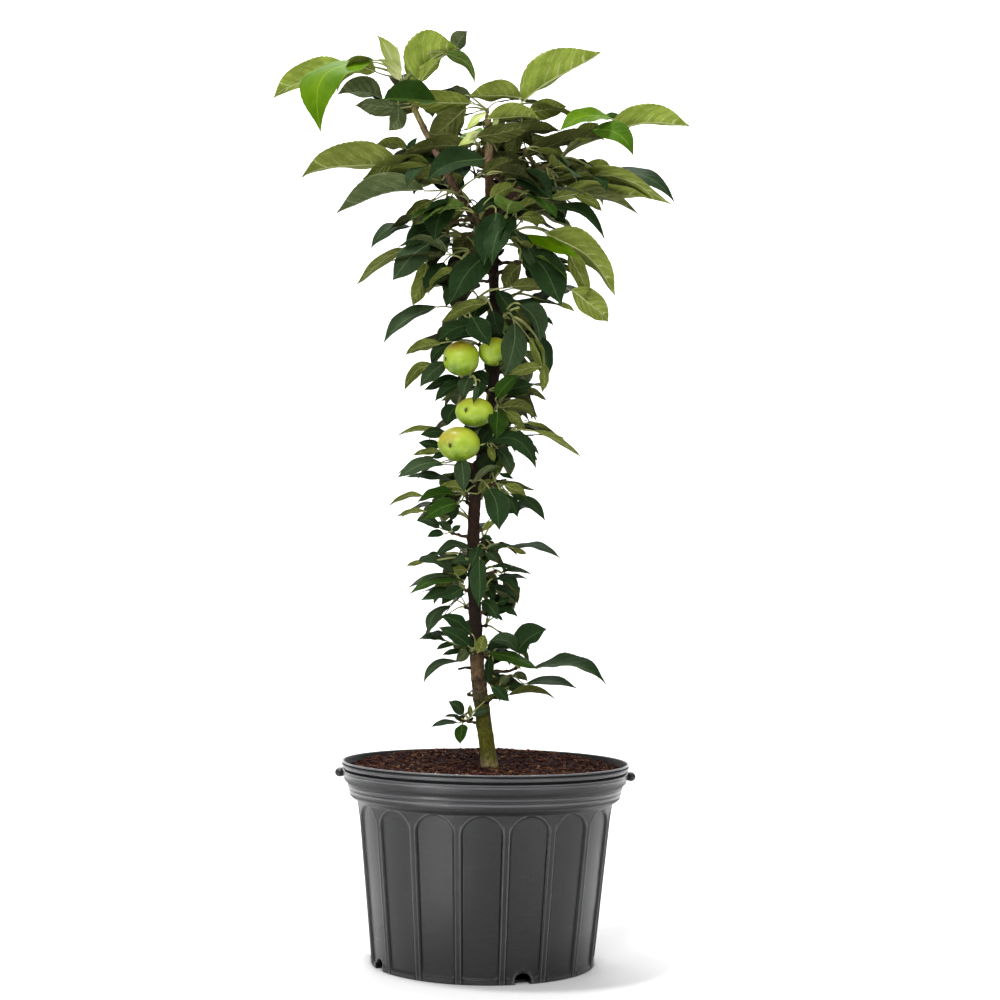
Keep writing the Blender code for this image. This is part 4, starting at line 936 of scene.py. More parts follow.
bark_mesh = {}
RING_SCARS = (0.290, 0.322, 0.3365, 0.345, 0.3535, 0.362, 0.3705, 0.388, 0.412, 0.447, 0.5335, 0.5445, 0.552, 0.575, 0.640, 0.702, 0.758, 0.812, 0.868, 0.925, 0.991, 1.035, 1.066)
for limb_name, (path, radii) in LIMBS.items():
    sides = 32 if limb_name == "trunk" else 20
    rings = tube_rings(path, np.ones(len(path)), sides)
    arc = np.concatenate([[0], np.cumsum(np.linalg.norm(np.diff(path, axis=0), axis=1))])
    for i, centre in enumerate(path):
        directions = rings[i] - centre
        z = centre[2]
        radius = radii[i]
        swell = np.zeros(sides)
        scars = RING_SCARS if limb_name == "trunk" else [path[k][2] for k in (8, 17, 29, 38, 49)]
        for scar in scars:
            swell += 0.00055 * math.exp(-(((z - scar) / 0.0018) ** 2))
            swell -= 0.00022 * math.exp(-(((z - scar - 0.0042) / 0.0016) ** 2))
        for j in range(sides):
            p = centre + directions[j] * radius
            q = Vector((p[0] * 210, p[1] * 210, arc[i] * 95))
            swell[j] += 0.00040 * noise.noise(q) + 0.00024 * noise.noise(q * 2.7) - 0.0002
            swell[j] += 0.00012 * noise.noise(Vector((p[0] * 900, p[1] * 900, arc[i] * 160)))
            knuckle = 0.0
            for target, origin, limb_radius, owner in spur_places:
                if owner == limb_name and abs(origin[2] - z) < 0.012:
                    lean = unit(target - origin) @ directions[j]
                    near = math.hypot((origin[2] - z) / 0.0055, (1 - lean) / 0.35)
                    knuckle = max(knuckle, math.exp(-(near**2)))
            swell[j] += 0.0010 * knuckle
        flare = max(0.0, 1 - (z - TRUNK_STATIONS[0][0]) / 0.03) if limb_name == "trunk" else 0.0
        buttress = 0.0010 * flare * np.cos(5 * np.arange(sides) * 2 * math.pi / sides + 0.8)
        rings[i] = centre + directions * (radius + swell + buttress)[:, None]
    if limb_name == "trunk":
        rings[0][:, 2] = TRUNK_STATIONS[0][0]
    soup = Soup()
    rows = len(path)
    start = soup.add(np.concatenate([rings.reshape(-1, 3), [path[0]], [path[-1] + 0.001 * unit(path[-1] - path[-2])]]), ring_faces(rows, sides), 0)
    j = np.arange(sides)
    k = (j + 1) % sides
    soup.more(np.stack([k, j, np.full(sides, rows * sides)], -1), 0)
    soup.more(np.stack([(rows - 1) * sides + j, (rows - 1) * sides + k, np.full(sides, rows * sides + 1)], -1), 0)
    bark_mesh[limb_name] = soup


def bark_material(name, stops, low, high, fissure, roughness=0.78):
    """Bark whose colour changes up the stem, with lichen, rings and fine cracks."""
    mat, tree, shader = new_material(name, roughness)
    shader.inputs["Specular IOR Level"].default_value = 0.16
    n = Nodes(tree)
    place = n.place()
    parts = n.new("ShaderNodeSeparateXYZ")
    n.link(place, parts.inputs[0])
    warp = n.math("MULTIPLY", n.math("SUBTRACT", n.noise(place, 55.0, 2.0), 0.5), 0.035)
    height = n.math("ADD", parts.outputs[2], warp)
    share = n.math("DIVIDE", n.math("SUBTRACT", height, low), high - low, clamp=True)
    ground = n.ramp(share, [((z - low) / (high - low), colour) for z, colour in stops])
    patches = n.ramp(n.noise(n.scaled(place, (1, 1, 0.6)), 120.0, 5.0, 0.62), [(0.42, (0, 0, 0)), (0.62, (1, 1, 1))])
    ground = n.mix(n.math("MULTIPLY", patches, 0.55), ground, n.mix(0.55, ground, fissure))
    lichen = n.ramp(n.noise(place, 46.0, 4.0, 0.65), [(0.56, (0, 0, 0)), (0.68, (1, 1, 1))])
    lichen = n.math("MULTIPLY", lichen, n.math("SUBTRACT", 1.0, n.math("MULTIPLY", share, 3.2), clamp=True))
    ground = n.mix(n.math("MULTIPLY", lichen, 0.35), ground, n.mix(0.5, ground, srgb(150, 142, 116)))
    cracks = n.new("ShaderNodeTexVoronoi", feature="DISTANCE_TO_EDGE")
    n.link(n.scaled(place, (1.0, 1.0, 0.32)), cracks.inputs["Vector"])
    cracks.inputs["Scale"].default_value = 420.0
    crack = n.math("SUBTRACT", 1.0, n.math("MULTIPLY", cracks.outputs["Distance"], 7.0), clamp=True)
    ground = n.mix(n.math("MULTIPLY", crack, 0.5), ground, fissure)
    streak = n.ramp(n.noise(n.scaled(place, (1.0, 1.0, 0.16)), 330.0, 4.0, 0.6), [(0.40, (0, 0, 0)), (0.60, (1, 1, 1))])
    ground = n.mix(n.math("MULTIPLY", streak, 0.35), ground, fissure)
    n.link(ground, shader.inputs["Base Color"])
    relief = n.math("ADD", n.noise(n.scaled(place, (1, 1, 0.5)), 260.0, 6.0, 0.6), n.math("MULTIPLY", crack, -0.45))
    n.bump(relief, 0.8, 0.0016, shader)
    return mat


TRUNK_COLOURS = [
    (0.248, srgb(96, 84, 56)), (0.252, srgb(170, 150, 106)), (0.258, srgb(140, 130, 84)), (0.263, srgb(116, 113, 36)),
    (0.290, srgb(106, 106, 24)), (0.322, srgb(86, 88, 28)), (0.330, srgb(80, 80, 32)), (0.3345, srgb(46, 40, 22)),
    (0.339, srgb(112, 100, 62)), (0.3425, srgb(44, 34, 22)), (0.347, srgb(116, 98, 66)), (0.351, srgb(46, 34, 24)),
    (0.355, srgb(118, 94, 64)), (0.360, srgb(50, 38, 26)), (0.366, srgb(128, 104, 74)), (0.385, srgb(112, 90, 62)),
    (0.398, srgb(66, 50, 34)), (0.410, srgb(40, 30, 20)), (0.500, srgb(36, 23, 14)), (0.520, srgb(50, 29, 17)), (0.575, srgb(52, 30, 18)),
    (0.610, srgb(32, 20, 14)), (0.840, srgb(24, 16, 11)), (0.950, srgb(44, 25, 18)), (0.990, srgb(104, 68, 50)),
    (1.030, srgb(158, 118, 96)), (1.060, srgb(196, 156, 132)), (1.096, srgb(150, 140, 84)),
]
trunk_bark = bark_material("bark_trunk", TRUNK_COLOURS, 0.248, 1.096, srgb(26, 20, 14))
bough_bark = bark_material(
    "bark_bough", [(0.90, srgb(42, 33, 24)), (0.97, srgb(70, 55, 40)), (1.02, srgb(128, 98, 80)), (1.055, srgb(182, 146, 124)), (1.10, srgb(170, 158, 96))],
    0.90, 1.11, srgb(36, 24, 18),
)
spur_bark = bark_material(
    "bark_spur", [(0.25, srgb(86, 78, 48)), (0.5, srgb(76, 60, 44)), (0.9, srgb(70, 54, 40)), (1.0, srgb(120, 104, 66)), (1.1, srgb(150, 142, 84))],
    0.25, 1.12, srgb(32, 24, 16),
)
dead_bark = bark_material("bark_dead", [(0.25, srgb(34, 26, 20)), (1.1, srgb(40, 30, 24))], 0.25, 1.12, srgb(14, 10, 8))


def petiole_material():
    mat, tree, shader = new_material("petiole", 0.55)
    n = Nodes(tree)
    place = n.place()
    tint = n.noise(place, 24.0, 2.0)
    colour = n.ramp(tint, [(0.34, srgb(92, 98, 52)), (0.52, srgb(142, 152, 84)), (0.72, srgb(190, 190, 122))])
    fine = n.noise(place, 900.0, 2.0)
    n.link(n.mix(n.math("MULTIPLY", fine, 0.4), colour, srgb(110, 96, 60)), shader.inputs["Base Color"])
    n.bump(fine, 0.3, 0.0003, shader)
    return mat


petiole_green = petiole_material()

trunk = bark_mesh["trunk"].build("trunk_bark", [trunk_bark])
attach(trunk, "root")
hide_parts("trunk")
for limb_name in BOUGHS:
    bough = bark_mesh[limb_name].build(limb_name + "_bark", [bough_bark])
    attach(bough, "root")
    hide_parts(limb_name)
twigs = wood.build("twigs", [spur_bark, petiole_green, dead_bark])
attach(twigs, "root")

# -------------------------------------------------------------------- leaves

pieces = {"leaves_crown": Soup(), "leaves_head": Soup(), "leaves_middle": Soup(), "leaves_lower": Soup()}
for leaf in leaves:
    z = 0.5 * (leaf.base[2] + leaf.tip[2])
    tier = "crown" if z > CROWN_HEIGHT else "head" if z > HEAD_HEIGHT else "middle" if z > LOWER_HEIGHT else "lower"
    add_leaf(pieces["leaves_" + tier], leaf)
TIERS = {
    "leaves_crown": ("foliage_top_",),
    "leaves_head": ("foliage_upper_",),
    "leaves_middle": ("foliage_middle_", "foliage_fruiting_"),
    "leaves_lower": ("foliage_lower_", "foliage_waist_", "foliage_spur_", "foliage_foot_", "foliage_low_pad_", "foliage_lowest_"),
}
for name, soup in pieces.items():
    obj = soup.build(name, list(LEAF_SLOTS.values()), with_uv=True, sharp=100)
    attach(obj, "root")
    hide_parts(*[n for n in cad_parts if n.startswith(TIERS[name])])
print("leaves", len(leaves), "of which grown", len(grown))

# -------------------------------------------------------------------- apples

# Front-view centre, depth (mm), radii (mm across, high), calyx place, share of blush.
APPLES = [
    (461.0, 358.5, -30, 25.6, 23.4, (443.0, 359.5), 1.0),
    (494.0, 352.0, -26, 20.5, 19.5, (505.0, 368.0), 0.35),
    (474.0, 412.0, -34, 25.4, 20.0, (464.5, 410.0), 0.45),
    (458.5, 444.0, -36, 28.2, 23.0, (448.5, 446.0), 0.75),
]
fruit = Soup()  # slots: 0 skin, 1 calyx, 2 stalk
fruit_blush = []  # (first vertex, values)
BLUSH_SIDES = [(-0.15, -0.35, 0.92), (0.0, -0.2, 1.0), (-0.3, -0.3, 0.9), (-0.62, -0.5, 0.6)]
for index, (cx, cy, depth, wide, tall, (ex, ey), blush) in enumerate(APPLES):
    rng = random.Random(SEED * 5 + index)
    centre = at(cx, cy, depth)
    scale = (-EYE[1] + depth / 1000.0) / FOCAL
    eye_dir = unit(EYE - centre)
    off = np.array([(ex - cx) * scale, 0.0, -(ey - cy) * scale]) / (0.001 * 0.5 * (wide + tall))
    flat = min(np.linalg.norm(off), 0.96)
    off = off / max(np.linalg.norm(off), 1e-6) * flat
    pole = unit(off + eye_dir * math.sqrt(1 - flat**2))  # towards the calyx
    side = unit(np.cross(pole, [0.1, 0.2, 1.0]))
    third = np.cross(pole, side)
    rows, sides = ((37, 48))
    phi = np.linspace(0, math.pi, rows)
    theta = np.arange(sides) * 2 * math.pi / sides
    rings = []
    for p in phi:
        c, s = math.cos(p), math.sin(p)
        # Basin round the calyx (phi 0) and a deeper cavity round the stalk (phi pi).
        basin = 0.14 * math.exp(-((p / 0.30) ** 2)) + 0.24 * math.exp(-(((math.pi - p) / 0.34) ** 2))
        shoulder = 1.0 + 0.035 * math.cos(2 * p) - 0.05 * c
        height = c * (1.0 - basin) * 0.92
        ribs = 1.0 + 0.018 * np.cos(5 * theta + rng.uniform(0, 1)) * (0.4 + 0.6 * c * c)
        radius = s * shoulder * ribs
        rings.append(pole * height + (np.cos(theta) * radius)[:, None] * side + (np.sin(theta) * radius)[:, None] * third)
    rings = np.array(rings)
    # Squash to the seen width and height.
    shape = rings * np.array([wide, 0.5 * (wide + tall), tall]) * 0.001 * 1.0
    points = centre + shape.reshape(-1, 3)
    start = fruit.add(points, ring_faces(rows, sides)[:, ::-1] if np.linalg.det(np.array([side, third, pole])) > 0 else ring_faces(rows, sides), 0)
    sunny = unit(np.array(BLUSH_SIDES[index]))
    turned = (shape.reshape(-1, 3) / np.linalg.norm(shape.reshape(-1, 3), axis=1)[:, None]) @ sunny
    fruit_blush.append((start, blush * smoothstep(0.45, 0.95, turned)))
    stem = centre - pole * 0.001 * (0.68 * 0.5 * (wide + tall))
    eye = centre + pole * 0.001 * (0.76 * 0.5 * (wide + tall))
    for petal in range(5):
        turn = petal * 2 * math.pi / 5 + 0.3
        d = side * math.cos(turn) + third * math.sin(turn)
        add_tube(fruit, np.array([eye + d * 0.0004, eye + d * 0.0016 + pole * 0.0020, eye + d * 0.0034 + pole * 0.0026]), [0.0013, 0.0011, 0.0003], 6, 1, 0.5)
    hub = hubs[[22, 22, 25, 28][index]]
    add_tube(fruit, bezier(stem, stem - pole * 0.012, hub + np.array([0, 0, 0.004]), hub, 10), np.linspace(0.0011, 0.0016, 10), 7, 2)


def apple_material():
    mat, tree, shader = new_material("apple_skin", 0.42)
    n = Nodes(tree)
    place = n.place()
    parts = n.new("ShaderNodeSeparateXYZ")
    n.link(place, parts.inputs[0])
    # The skin is painted darker underneath and paler on top, as shade and light from above.
    normal = n.new("ShaderNodeNewGeometry")
    facing = n.new("ShaderNodeSeparateXYZ")
    n.link(normal.outputs["Normal"], facing.inputs[0])
    up = n.math("MULTIPLY_ADD", facing.outputs[2], 0.5, 0.5)
    ground = n.ramp(up, [(0.0, srgb(66, 94, 4)), (0.3, srgb(118, 150, 8)), (0.6, srgb(158, 182, 22)), (1.0, srgb(182, 188, 48))])
    soft = n.noise(place, 60.0, 3.0)
    ground = n.mix(n.math("MULTIPLY", n.ramp(soft, [(0.4, (0, 0, 0)), (0.7, (1, 1, 1))]), 0.45), ground, srgb(196, 212, 72))
    streaks = n.noise(n.scaled(place, (1.0, 1.0, 0.3)), 240.0, 4.0, 0.6)
    blush = n.new("ShaderNodeAttribute", attribute_name="blush").outputs["Fac"]
    patchy = n.ramp(n.math("MULTIPLY_ADD", streaks, 0.6, n.math("MULTIPLY", soft, 0.4)), [(0.36, (0.25, 0.25, 0.25)), (0.6, (1, 1, 1))])
    rosy = n.math("MULTIPLY", blush, patchy)
    ground = n.mix(n.math("MULTIPLY", rosy, 0.75, clamp=True), ground, srgb(160, 106, 30))
    dots = n.new("ShaderNodeTexVoronoi")
    n.link(place, dots.inputs["Vector"])
    dots.inputs["Scale"].default_value = 330.0
    dot = n.math("LESS_THAN", dots.outputs["Distance"], 0.13)
    ground = n.mix(n.math("MULTIPLY", dot, 0.45), ground, srgb(214, 220, 140))
    n.link(ground, shader.inputs["Base Color"])
    n.bump(n.noise(place, 380.0, 2.0), 0.08, 0.0004, shader)
    shader.inputs["Coat Weight"].default_value = 0.12
    shader.inputs["Coat Roughness"].default_value = 0.22
    return mat


def plain_grain(name, a, b, scale, roughness, strength=0.4, distance=0.0005):
    """Two tones under a noise, with the same noise as relief."""
    mat, tree, shader = new_material(name, roughness)
    shader.inputs["Specular IOR Level"].default_value = 0.12
    n = Nodes(tree)
    place = n.place()
    fine = n.noise(place, scale, 4.0, 0.6)
    n.link(n.mix(n.ramp(fine, [(0.3, (0, 0, 0)), (0.7, (1, 1, 1))]), a, b), shader.inputs["Base Color"])
    n.bump(fine, strength, distance, shader)
    return mat


apples = fruit.build(
    "apples",
    [apple_material(), plain_grain("apple_calyx", srgb(52, 44, 22), srgb(88, 82, 40), 700.0, 0.8), plain_grain("apple_stalk", srgb(98, 96, 48), srgb(128, 112, 62), 400.0, 0.6)],
)
blush_values = np.zeros(len(apples.data.vertices), np.float32)
for first, values in fruit_blush:
    blush_values[first : first + len(values)] = values
apples.data.attributes.new("blush", "FLOAT", "POINT").data.foreach_set("value", blush_values)
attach(apples, "root")

# ----------------------------------------------------------------------- pot

POT_HEIGHT, LIP_RADIUS, FOOT_RADIUS = 0.2545, 0.1850, 0.1430
BODY_TOP_Z, BODY_TOP_RADIUS = 0.2045, 0.1640
FLUTES, RIB_WIDTH, FLUTE_WALL, FLUTE_DEPTH, PANEL_FLATNESS = 17, 0.0084, 0.0022, 0.0016, 0.0014
FRONT_FLUTE = math.radians(-90.6)
DRAINS = [FRONT_FLUTE + step * 2 * math.pi / FLUTES for step in (-3, 1, 5, 9)]
FLUTE_FOOT_Z, ARCH_RISE, ARCH_TOP_Z = 0.0060, 0.0250, 0.2025


def body_radius(z):
    return FOOT_RADIUS + (BODY_TOP_RADIUS - FOOT_RADIUS) * z / BODY_TOP_Z


def flute_profile(d):
    """How far the wall sinks at distance d inside a flute's outline."""
    share = np.clip(d * 500.0, 0, 1)
    return 0.0016 * share**2 * (3 - 2 * share)


def flute_edge(d):
    """The bead outside a flute's side and the groove within it."""
    d = d * 1000.0
    return (-0.85 * np.exp(-(((d + 0.8) / 0.65) ** 2)) + 0.85 * np.exp(-(((d - 1.5) / 0.7) ** 2))) / 1000.0


# Painted light up the rim bands to the lip: bead tops are painted pale as highlights and grooves dark as shade.
RIM_PAINTED_LIGHT = [
    (0.2045, 0.40), (0.2085, 0.22), (0.2110, 0.34), (0.2138, 0.10), (0.2160, 0.45), (0.2184, 1.0), (0.2194, 0.95), (0.2206, 0.40),
    (0.2232, 0.42), (0.2248, 0.85), (0.2258, 0.85), (0.2276, 0.25), (0.2310, 0.05), (0.2336, 0.28), (0.2385, 0.52), (0.2398, 0.9),
    (0.2406, 0.9), (0.2418, 0.42), (0.2428, 0.88), (0.2437, 0.88), (0.2446, 0.0), (0.2460, 0.0), (0.2470, 0.55), (0.2512, 0.85),
    (0.2524, 0.05), (0.2533, 0.05), (0.2545, 0.9), (0.2562, 1.0),
]


def pot_soup():
    soup = Soup()
    sector = 2 * math.pi / FLUTES
    steps = np.array([0.0, 0.9, 1.8, 2.6, 3.2, 3.7, 4.2, 4.7, 5.2, 5.8, 6.5, 7.4, 8.4, 9.6, 11, 13, 15, 17, 19, 21, 23.5, 26, 29]) / 1000.0
    shares = np.concatenate([steps / (0.5 * sector * BODY_TOP_RADIUS), [1.0]])  # 0 at the rib's middle, 1 at the panel's
    shares = np.concatenate([shares, 2 - shares[-2:0:-1]])  # on to the next rib
    columns = np.concatenate([(FRONT_FLUTE - 0.5 * sector + (k + 0.5 * shares) * sector) for k in range(FLUTES)])
    offsets = np.tile(0.5 * shares * sector, FLUTES)
    heights = [0.0, 0.0006, 0.0014, 0.003, 0.0046, 0.0054, 0.0062, 0.0070, 0.0078, 0.0088, 0.0102, 0.013, 0.018, 0.026, 0.038]
    heights += list(np.arange(0.050, 0.166, 0.012)) + list(np.arange(0.1700, 0.2045, 0.0012)) + [0.2045]
    heights = np.array(heights)
    rings, tones = [], []
    for z in heights:
        r = body_radius(z)
        from_side = np.minimum(offsets, sector - offsets)
        half_panel = (0.5 * sector - 0.5 * RIB_WIDTH / body_radius(ARCH_TOP_Z)) * r
        lateral = (from_side * r) - 0.5 * RIB_WIDTH * r / body_radius(ARCH_TOP_Z)
        across = np.clip(1 - np.maximum(lateral, 0) / half_panel, 0, 1)
        # Distance inside the arch: the less of the side distance and the distance under the arch line.
        arch_z = ARCH_TOP_Z + 0.0022 - ARCH_RISE + ARCH_RISE * np.sqrt(np.maximum(0, 1 - across**2))
        slope = ARCH_RISE / half_panel * across / np.sqrt(np.maximum(0.02, 1 - across**2))
        under = (arch_z - z) / np.sqrt(1 + slope**2)
        over_foot = z - FLUTE_FOOT_Z
        corner = 0.006
        # Rounded lower corners.
        a, b = corner - np.minimum(lateral, corner), corner - np.minimum(over_foot, corner)
        low = corner - np.hypot(a, b)
        inside = np.minimum(np.minimum(lateral, under), low)
        depth = flute_profile(inside) + flute_edge(np.minimum(lateral, under)) * (1.0 if z > 0.004 else z / 0.004)
        depth = depth + PANEL_FLATNESS * np.clip(inside / 0.024, 0, 1) ** 0.8
        if z < 0.0012:
            depth = depth * 0
        fade = 1.0 if z < 0.203 else max(0.0, (0.2062 - z) / 0.0032)
        depth = np.where(depth > 0, depth, depth * fade)
        radius = r - depth
        # Painted light of each ring for the relief attribute: 0.5 leaves the plastic as it is, above it paints a
        # highlight, below it paints shade.
        tone = np.full(len(columns), 0.5)
        if z == 0.0:
            radius = radius - 0.0005
            tone = tone * 0 + 0.2
        elif z < 0.0050:
            tone = tone + 0.1  # a little paler low on the foot
        for azimuth in DRAINS:
            # The moulding thickens round each drain hole, and a painted highlight lies round its edge.
            swing = (columns - azimuth + math.pi) % (2 * math.pi) - math.pi
            away = np.hypot(swing * r / 0.0118, (z - 0.001) / 0.0148)
            near = np.exp(-(((away - 1.06) / 0.09) ** 2)) * (z > 0.0005)
            radius = radius + 0.0007 * near
            tone = tone + 0.5 * near * (1 - 0.6 * z / 0.0148)
        tones.append(np.clip(tone, 0, 1))
        rings.append(np.stack([radius * np.cos(columns), radius * np.sin(columns), np.full(len(columns), z)], -1))
    rim = [
        (0.2052, 0.1646), (0.2068, 0.1662), (0.2090, 0.1700), (0.2108, 0.1722), (0.2122, 0.1736), (0.2135, 0.1741), (0.2150, 0.1745),
        (0.2168, 0.1747), (0.2178, 0.1752), (0.2188, 0.1757), (0.2198, 0.1753), (0.2206, 0.1751), (0.2222, 0.1759), (0.2234, 0.1766),
        (0.2244, 0.1772), (0.2254, 0.1774), (0.2264, 0.1769), (0.2276, 0.1770), (0.2290, 0.1781), (0.2302, 0.1797), (0.2312, 0.1809),
        (0.2322, 0.1815), (0.2336, 0.1819), (0.2360, 0.1823), (0.2384, 0.1827), (0.2394, 0.1832), (0.2402, 0.1834), (0.2410, 0.1831),
        (0.2420, 0.1830), (0.2430, 0.1835), (0.2437, 0.1834), (0.2443, 0.1824), (0.2448, 0.1808), (0.2454, 0.1804), (0.2461, 0.1808),
        (0.2466, 0.1824), (0.2474, 0.1838), (0.2484, 0.1845), (0.2504, 0.1848), (0.2516, 0.1848), (0.2523, 0.1842), (0.2528, 0.1832),
        (0.2533, 0.1832), (0.2538, 0.1841), (0.2545, 0.1848), (0.2553, 0.1849), (0.2559, 0.1844), (0.2560, 0.1834),
    ]
    hollow = [
        (0.2556, 0.1822), (0.2545, 0.1815), (0.2520, 0.1811), (0.2482, 0.1800), (0.2440, 0.1784), (0.2380, 0.1764), (0.2200, 0.1722),
        (0.2100, 0.1690), (0.2005, 0.1576), (0.1000, 0.1474), (0.0030, 0.1372),
    ]
    # Outside rings take the rim's painted light; the inside of the pot is painted dark as shade (0.12).
    for outside, profile in ((True, rim), (False, hollow)):
        for z, r in profile:
            tones.append(np.full(len(columns), np.interp(z, *zip(*RIM_PAINTED_LIGHT)) if outside else 0.12))
            rings.append(np.stack([r * np.cos(columns), r * np.sin(columns), np.full(len(columns), z)], -1))
    rings = np.array(rings)
    rows, sides = len(rings), len(columns)
    floor_top, floor_low = rings[-1].mean(0), rings[0].mean(0)
    floor_low[2] = 0.0
    # Ring 0 is the lowest outside one, so the faces run up the outside, over the lip and down the inside.
    start = soup.add(np.concatenate([rings.reshape(-1, 3), [floor_low], [floor_top]]), ring_faces(rows, sides), 0)
    j = np.arange(sides)
    k = (j + 1) % sides
    soup.more(np.stack([k, j, np.full(sides, rows * sides)], -1), 0)
    soup.more(np.stack([(rows - 1) * sides + j, (rows - 1) * sides + k, np.full(sides, rows * sides + 1)], -1), 0)
    return soup, np.concatenate([np.array(tones).reshape(-1), [0.3, 0.3]])


def pot_material():
    mat, tree, shader = new_material("pot_plastic_fine", 0.42)
    shader.inputs["Specular IOR Level"].default_value = 0.4
    n = Nodes(tree)
    place = n.place()
    parts = n.new("ShaderNodeSeparateXYZ")
    n.link(place, parts.inputs[0])
    cloud = n.noise(n.scaled(place, (1, 1, 0.5)), 22.0, 5.0, 0.65)
    fine = n.noise(place, 1500.0, 2.0, 0.5)
    lines = n.noise(n.scaled(place, (0.06, 0.06, 1.0)), 900.0, 3.0, 0.6)
    ground = n.mix(n.ramp(cloud, [(0.35, (0, 0, 0)), (0.7, (1, 1, 1))]), srgb(8, 8, 9), srgb(17, 17, 18))
    ground = n.mix(n.math("MULTIPLY", n.ramp(fine, [(0.5, (0, 0, 0)), (0.75, (1, 1, 1))]), 0.4), ground, srgb(48, 48, 49))
    ground = n.mix(n.math("MULTIPLY", n.ramp(lines, [(0.45, (0, 0, 0)), (0.7, (1, 1, 1))]), 0.3), ground, srgb(42, 42, 43))
    # The body is painted paler towards the top, as light from above.
    rise = n.math("DIVIDE", parts.outputs[2], 0.25, clamp=True)
    ground = n.mix(n.math("MULTIPLY", n.math("POWER", rise, 1.6), 0.4), ground, srgb(54, 54, 56))
    low = n.math("SUBTRACT", 1.0, n.math("DIVIDE", parts.outputs[2], 0.03), clamp=True)
    dust = n.math("MULTIPLY", low, n.noise(place, 70.0, 4.0))
    ground = n.mix(n.math("MULTIPLY", dust, 0.16), ground, srgb(70, 67, 62))
    # Painted light: bead tops on the rim, round the drains and along the flute edges are painted paler as highlights,
    # and the grooves and the pot's inside darker as shade.
    relief = n.new("ShaderNodeAttribute", attribute_name="relief").outputs["Fac"]
    sector = 2 * math.pi / FLUTES
    radius = n.math("MULTIPLY_ADD", parts.outputs[2], (BODY_TOP_RADIUS - FOOT_RADIUS) / BODY_TOP_Z, FOOT_RADIUS)
    turn = n.math("ARCTAN2", parts.outputs[1], parts.outputs[0])
    share = n.math("FRACT", n.math("DIVIDE", n.math("ADD", turn, 0.5 * sector - FRONT_FLUTE + 2 * math.pi), sector))
    from_side = n.math("MULTIPLY", n.math("MINIMUM", share, n.math("SUBTRACT", 1.0, share)), n.math("MULTIPLY", radius, sector))
    rib = 0.5 * RIB_WIDTH / body_radius(ARCH_TOP_Z)
    lateral = n.math("SUBTRACT", from_side, n.math("MULTIPLY", radius, rib))
    half_panel = n.math("MULTIPLY", radius, 0.5 * sector - rib)
    across = n.math("SUBTRACT", 1.0, n.math("DIVIDE", n.math("MAXIMUM", lateral, 0.0), half_panel), clamp=True)
    bow = n.math("SQRT", n.math("SUBTRACT", 1.0, n.math("MULTIPLY", across, across)))
    slope = n.math("DIVIDE", n.math("MULTIPLY", across, n.math("DIVIDE", ARCH_RISE, half_panel)), n.math("MAXIMUM", bow, 0.14))
    under = n.math("SUBTRACT", n.math("MULTIPLY_ADD", bow, ARCH_RISE, ARCH_TOP_Z + 0.0022 - ARCH_RISE), parts.outputs[2])
    under = n.math("DIVIDE", under, n.math("SQRT", n.math("MULTIPLY_ADD", slope, slope, 1.0)))
    inside = n.math("MULTIPLY", n.math("MINIMUM", lateral, under), 1000.0)

    def ridge(middle, width):
        off = n.math("DIVIDE", n.math("SUBTRACT", inside, middle), width)
        return n.math("EXPONENT", n.math("MULTIPLY", n.math("MULTIPLY", off, off), -1.0))

    # A painted highlight along the bead outside each flute and painted shade in the groove within it, on the body below
    # the rim.
    edge = n.math("SUBTRACT", n.math("MULTIPLY", ridge(-0.9, 0.7), 0.30), n.math("MULTIPLY", ridge(1.2, 0.9), 0.5))
    edge = n.math("MULTIPLY", edge, n.math("LESS_THAN", parts.outputs[2], 0.2052))
    relief = n.math("ADD", relief, edge)
    painted_highlight = n.math("MULTIPLY_ADD", relief, 2.0, -1.0, clamp=True)
    painted_shade = n.math("MULTIPLY_ADD", relief, -2.0, 1.0, clamp=True)
    ground = n.mix(n.math("MULTIPLY", painted_highlight, 0.85), ground, srgb(98, 98, 100))
    ground = n.mix(n.math("MULTIPLY", painted_shade, 0.95), ground, srgb(3, 3, 3))
    n.link(ground, shader.inputs["Base Color"])
    rough = n.ramp(cloud, [(0.3, (0.27, 0.27, 0.27)), (0.75, (0.38, 0.38, 0.38))])
    on_rim = n.math("GREATER_THAN", parts.outputs[2], 0.2085)
    rough = n.mix(on_rim, rough, n.mix(painted_shade, (0.21, 0.21, 0.21), (0.7, 0.7, 0.7)))
    n.link(rough, shader.inputs["Roughness"])
    grain = n.math("ADD", fine, n.math("MULTIPLY", lines, 0.8))
    n.bump(grain, 0.3, 0.0003, shader)
    return mat


pot, pot_painted_light = pot_soup()
# Lugs on the left and right, under the lip.
for side in (-1, 1):
    rows, sides = 13, 18
    rings = []
    for i in range(rows):
        share = -1 + 2 * i / (rows - 1)
        y = 0.013 * share
        size = max(0.0, 1 - abs(share) ** 5) ** 0.5 * 0.0056 + 0.0002
        ring = []
        for j in range(sides):
            turn = 2 * math.pi * j / sides
            x, z = size * math.cos(turn), size * math.sin(turn)
            x = x * (1.6 if x < 0 else 1.0)
            ring.append((side * (0.1878 + x), y, 0.2390 + z))
        rings.append(ring)
    faces = ring_faces(rows, sides)
    if side > 0:
        faces = faces[:, ::-1]
    start = pot.add(np.array(rings).reshape(-1, 3), faces, 0)
pot_piece = pot.build("pot_moulding", [pot_material()], sharp=50)
# The relief attribute carries the painted highlights and shade of each ring; the lugs take 0.42.
painted_light_values = np.full(len(pot_piece.data.vertices), 0.42, np.float32)
painted_light_values[: len(pot_painted_light)] = pot_painted_light
pot_piece.data.attributes.new("relief", "FLOAT", "POINT").data.foreach_set("value", painted_light_values)
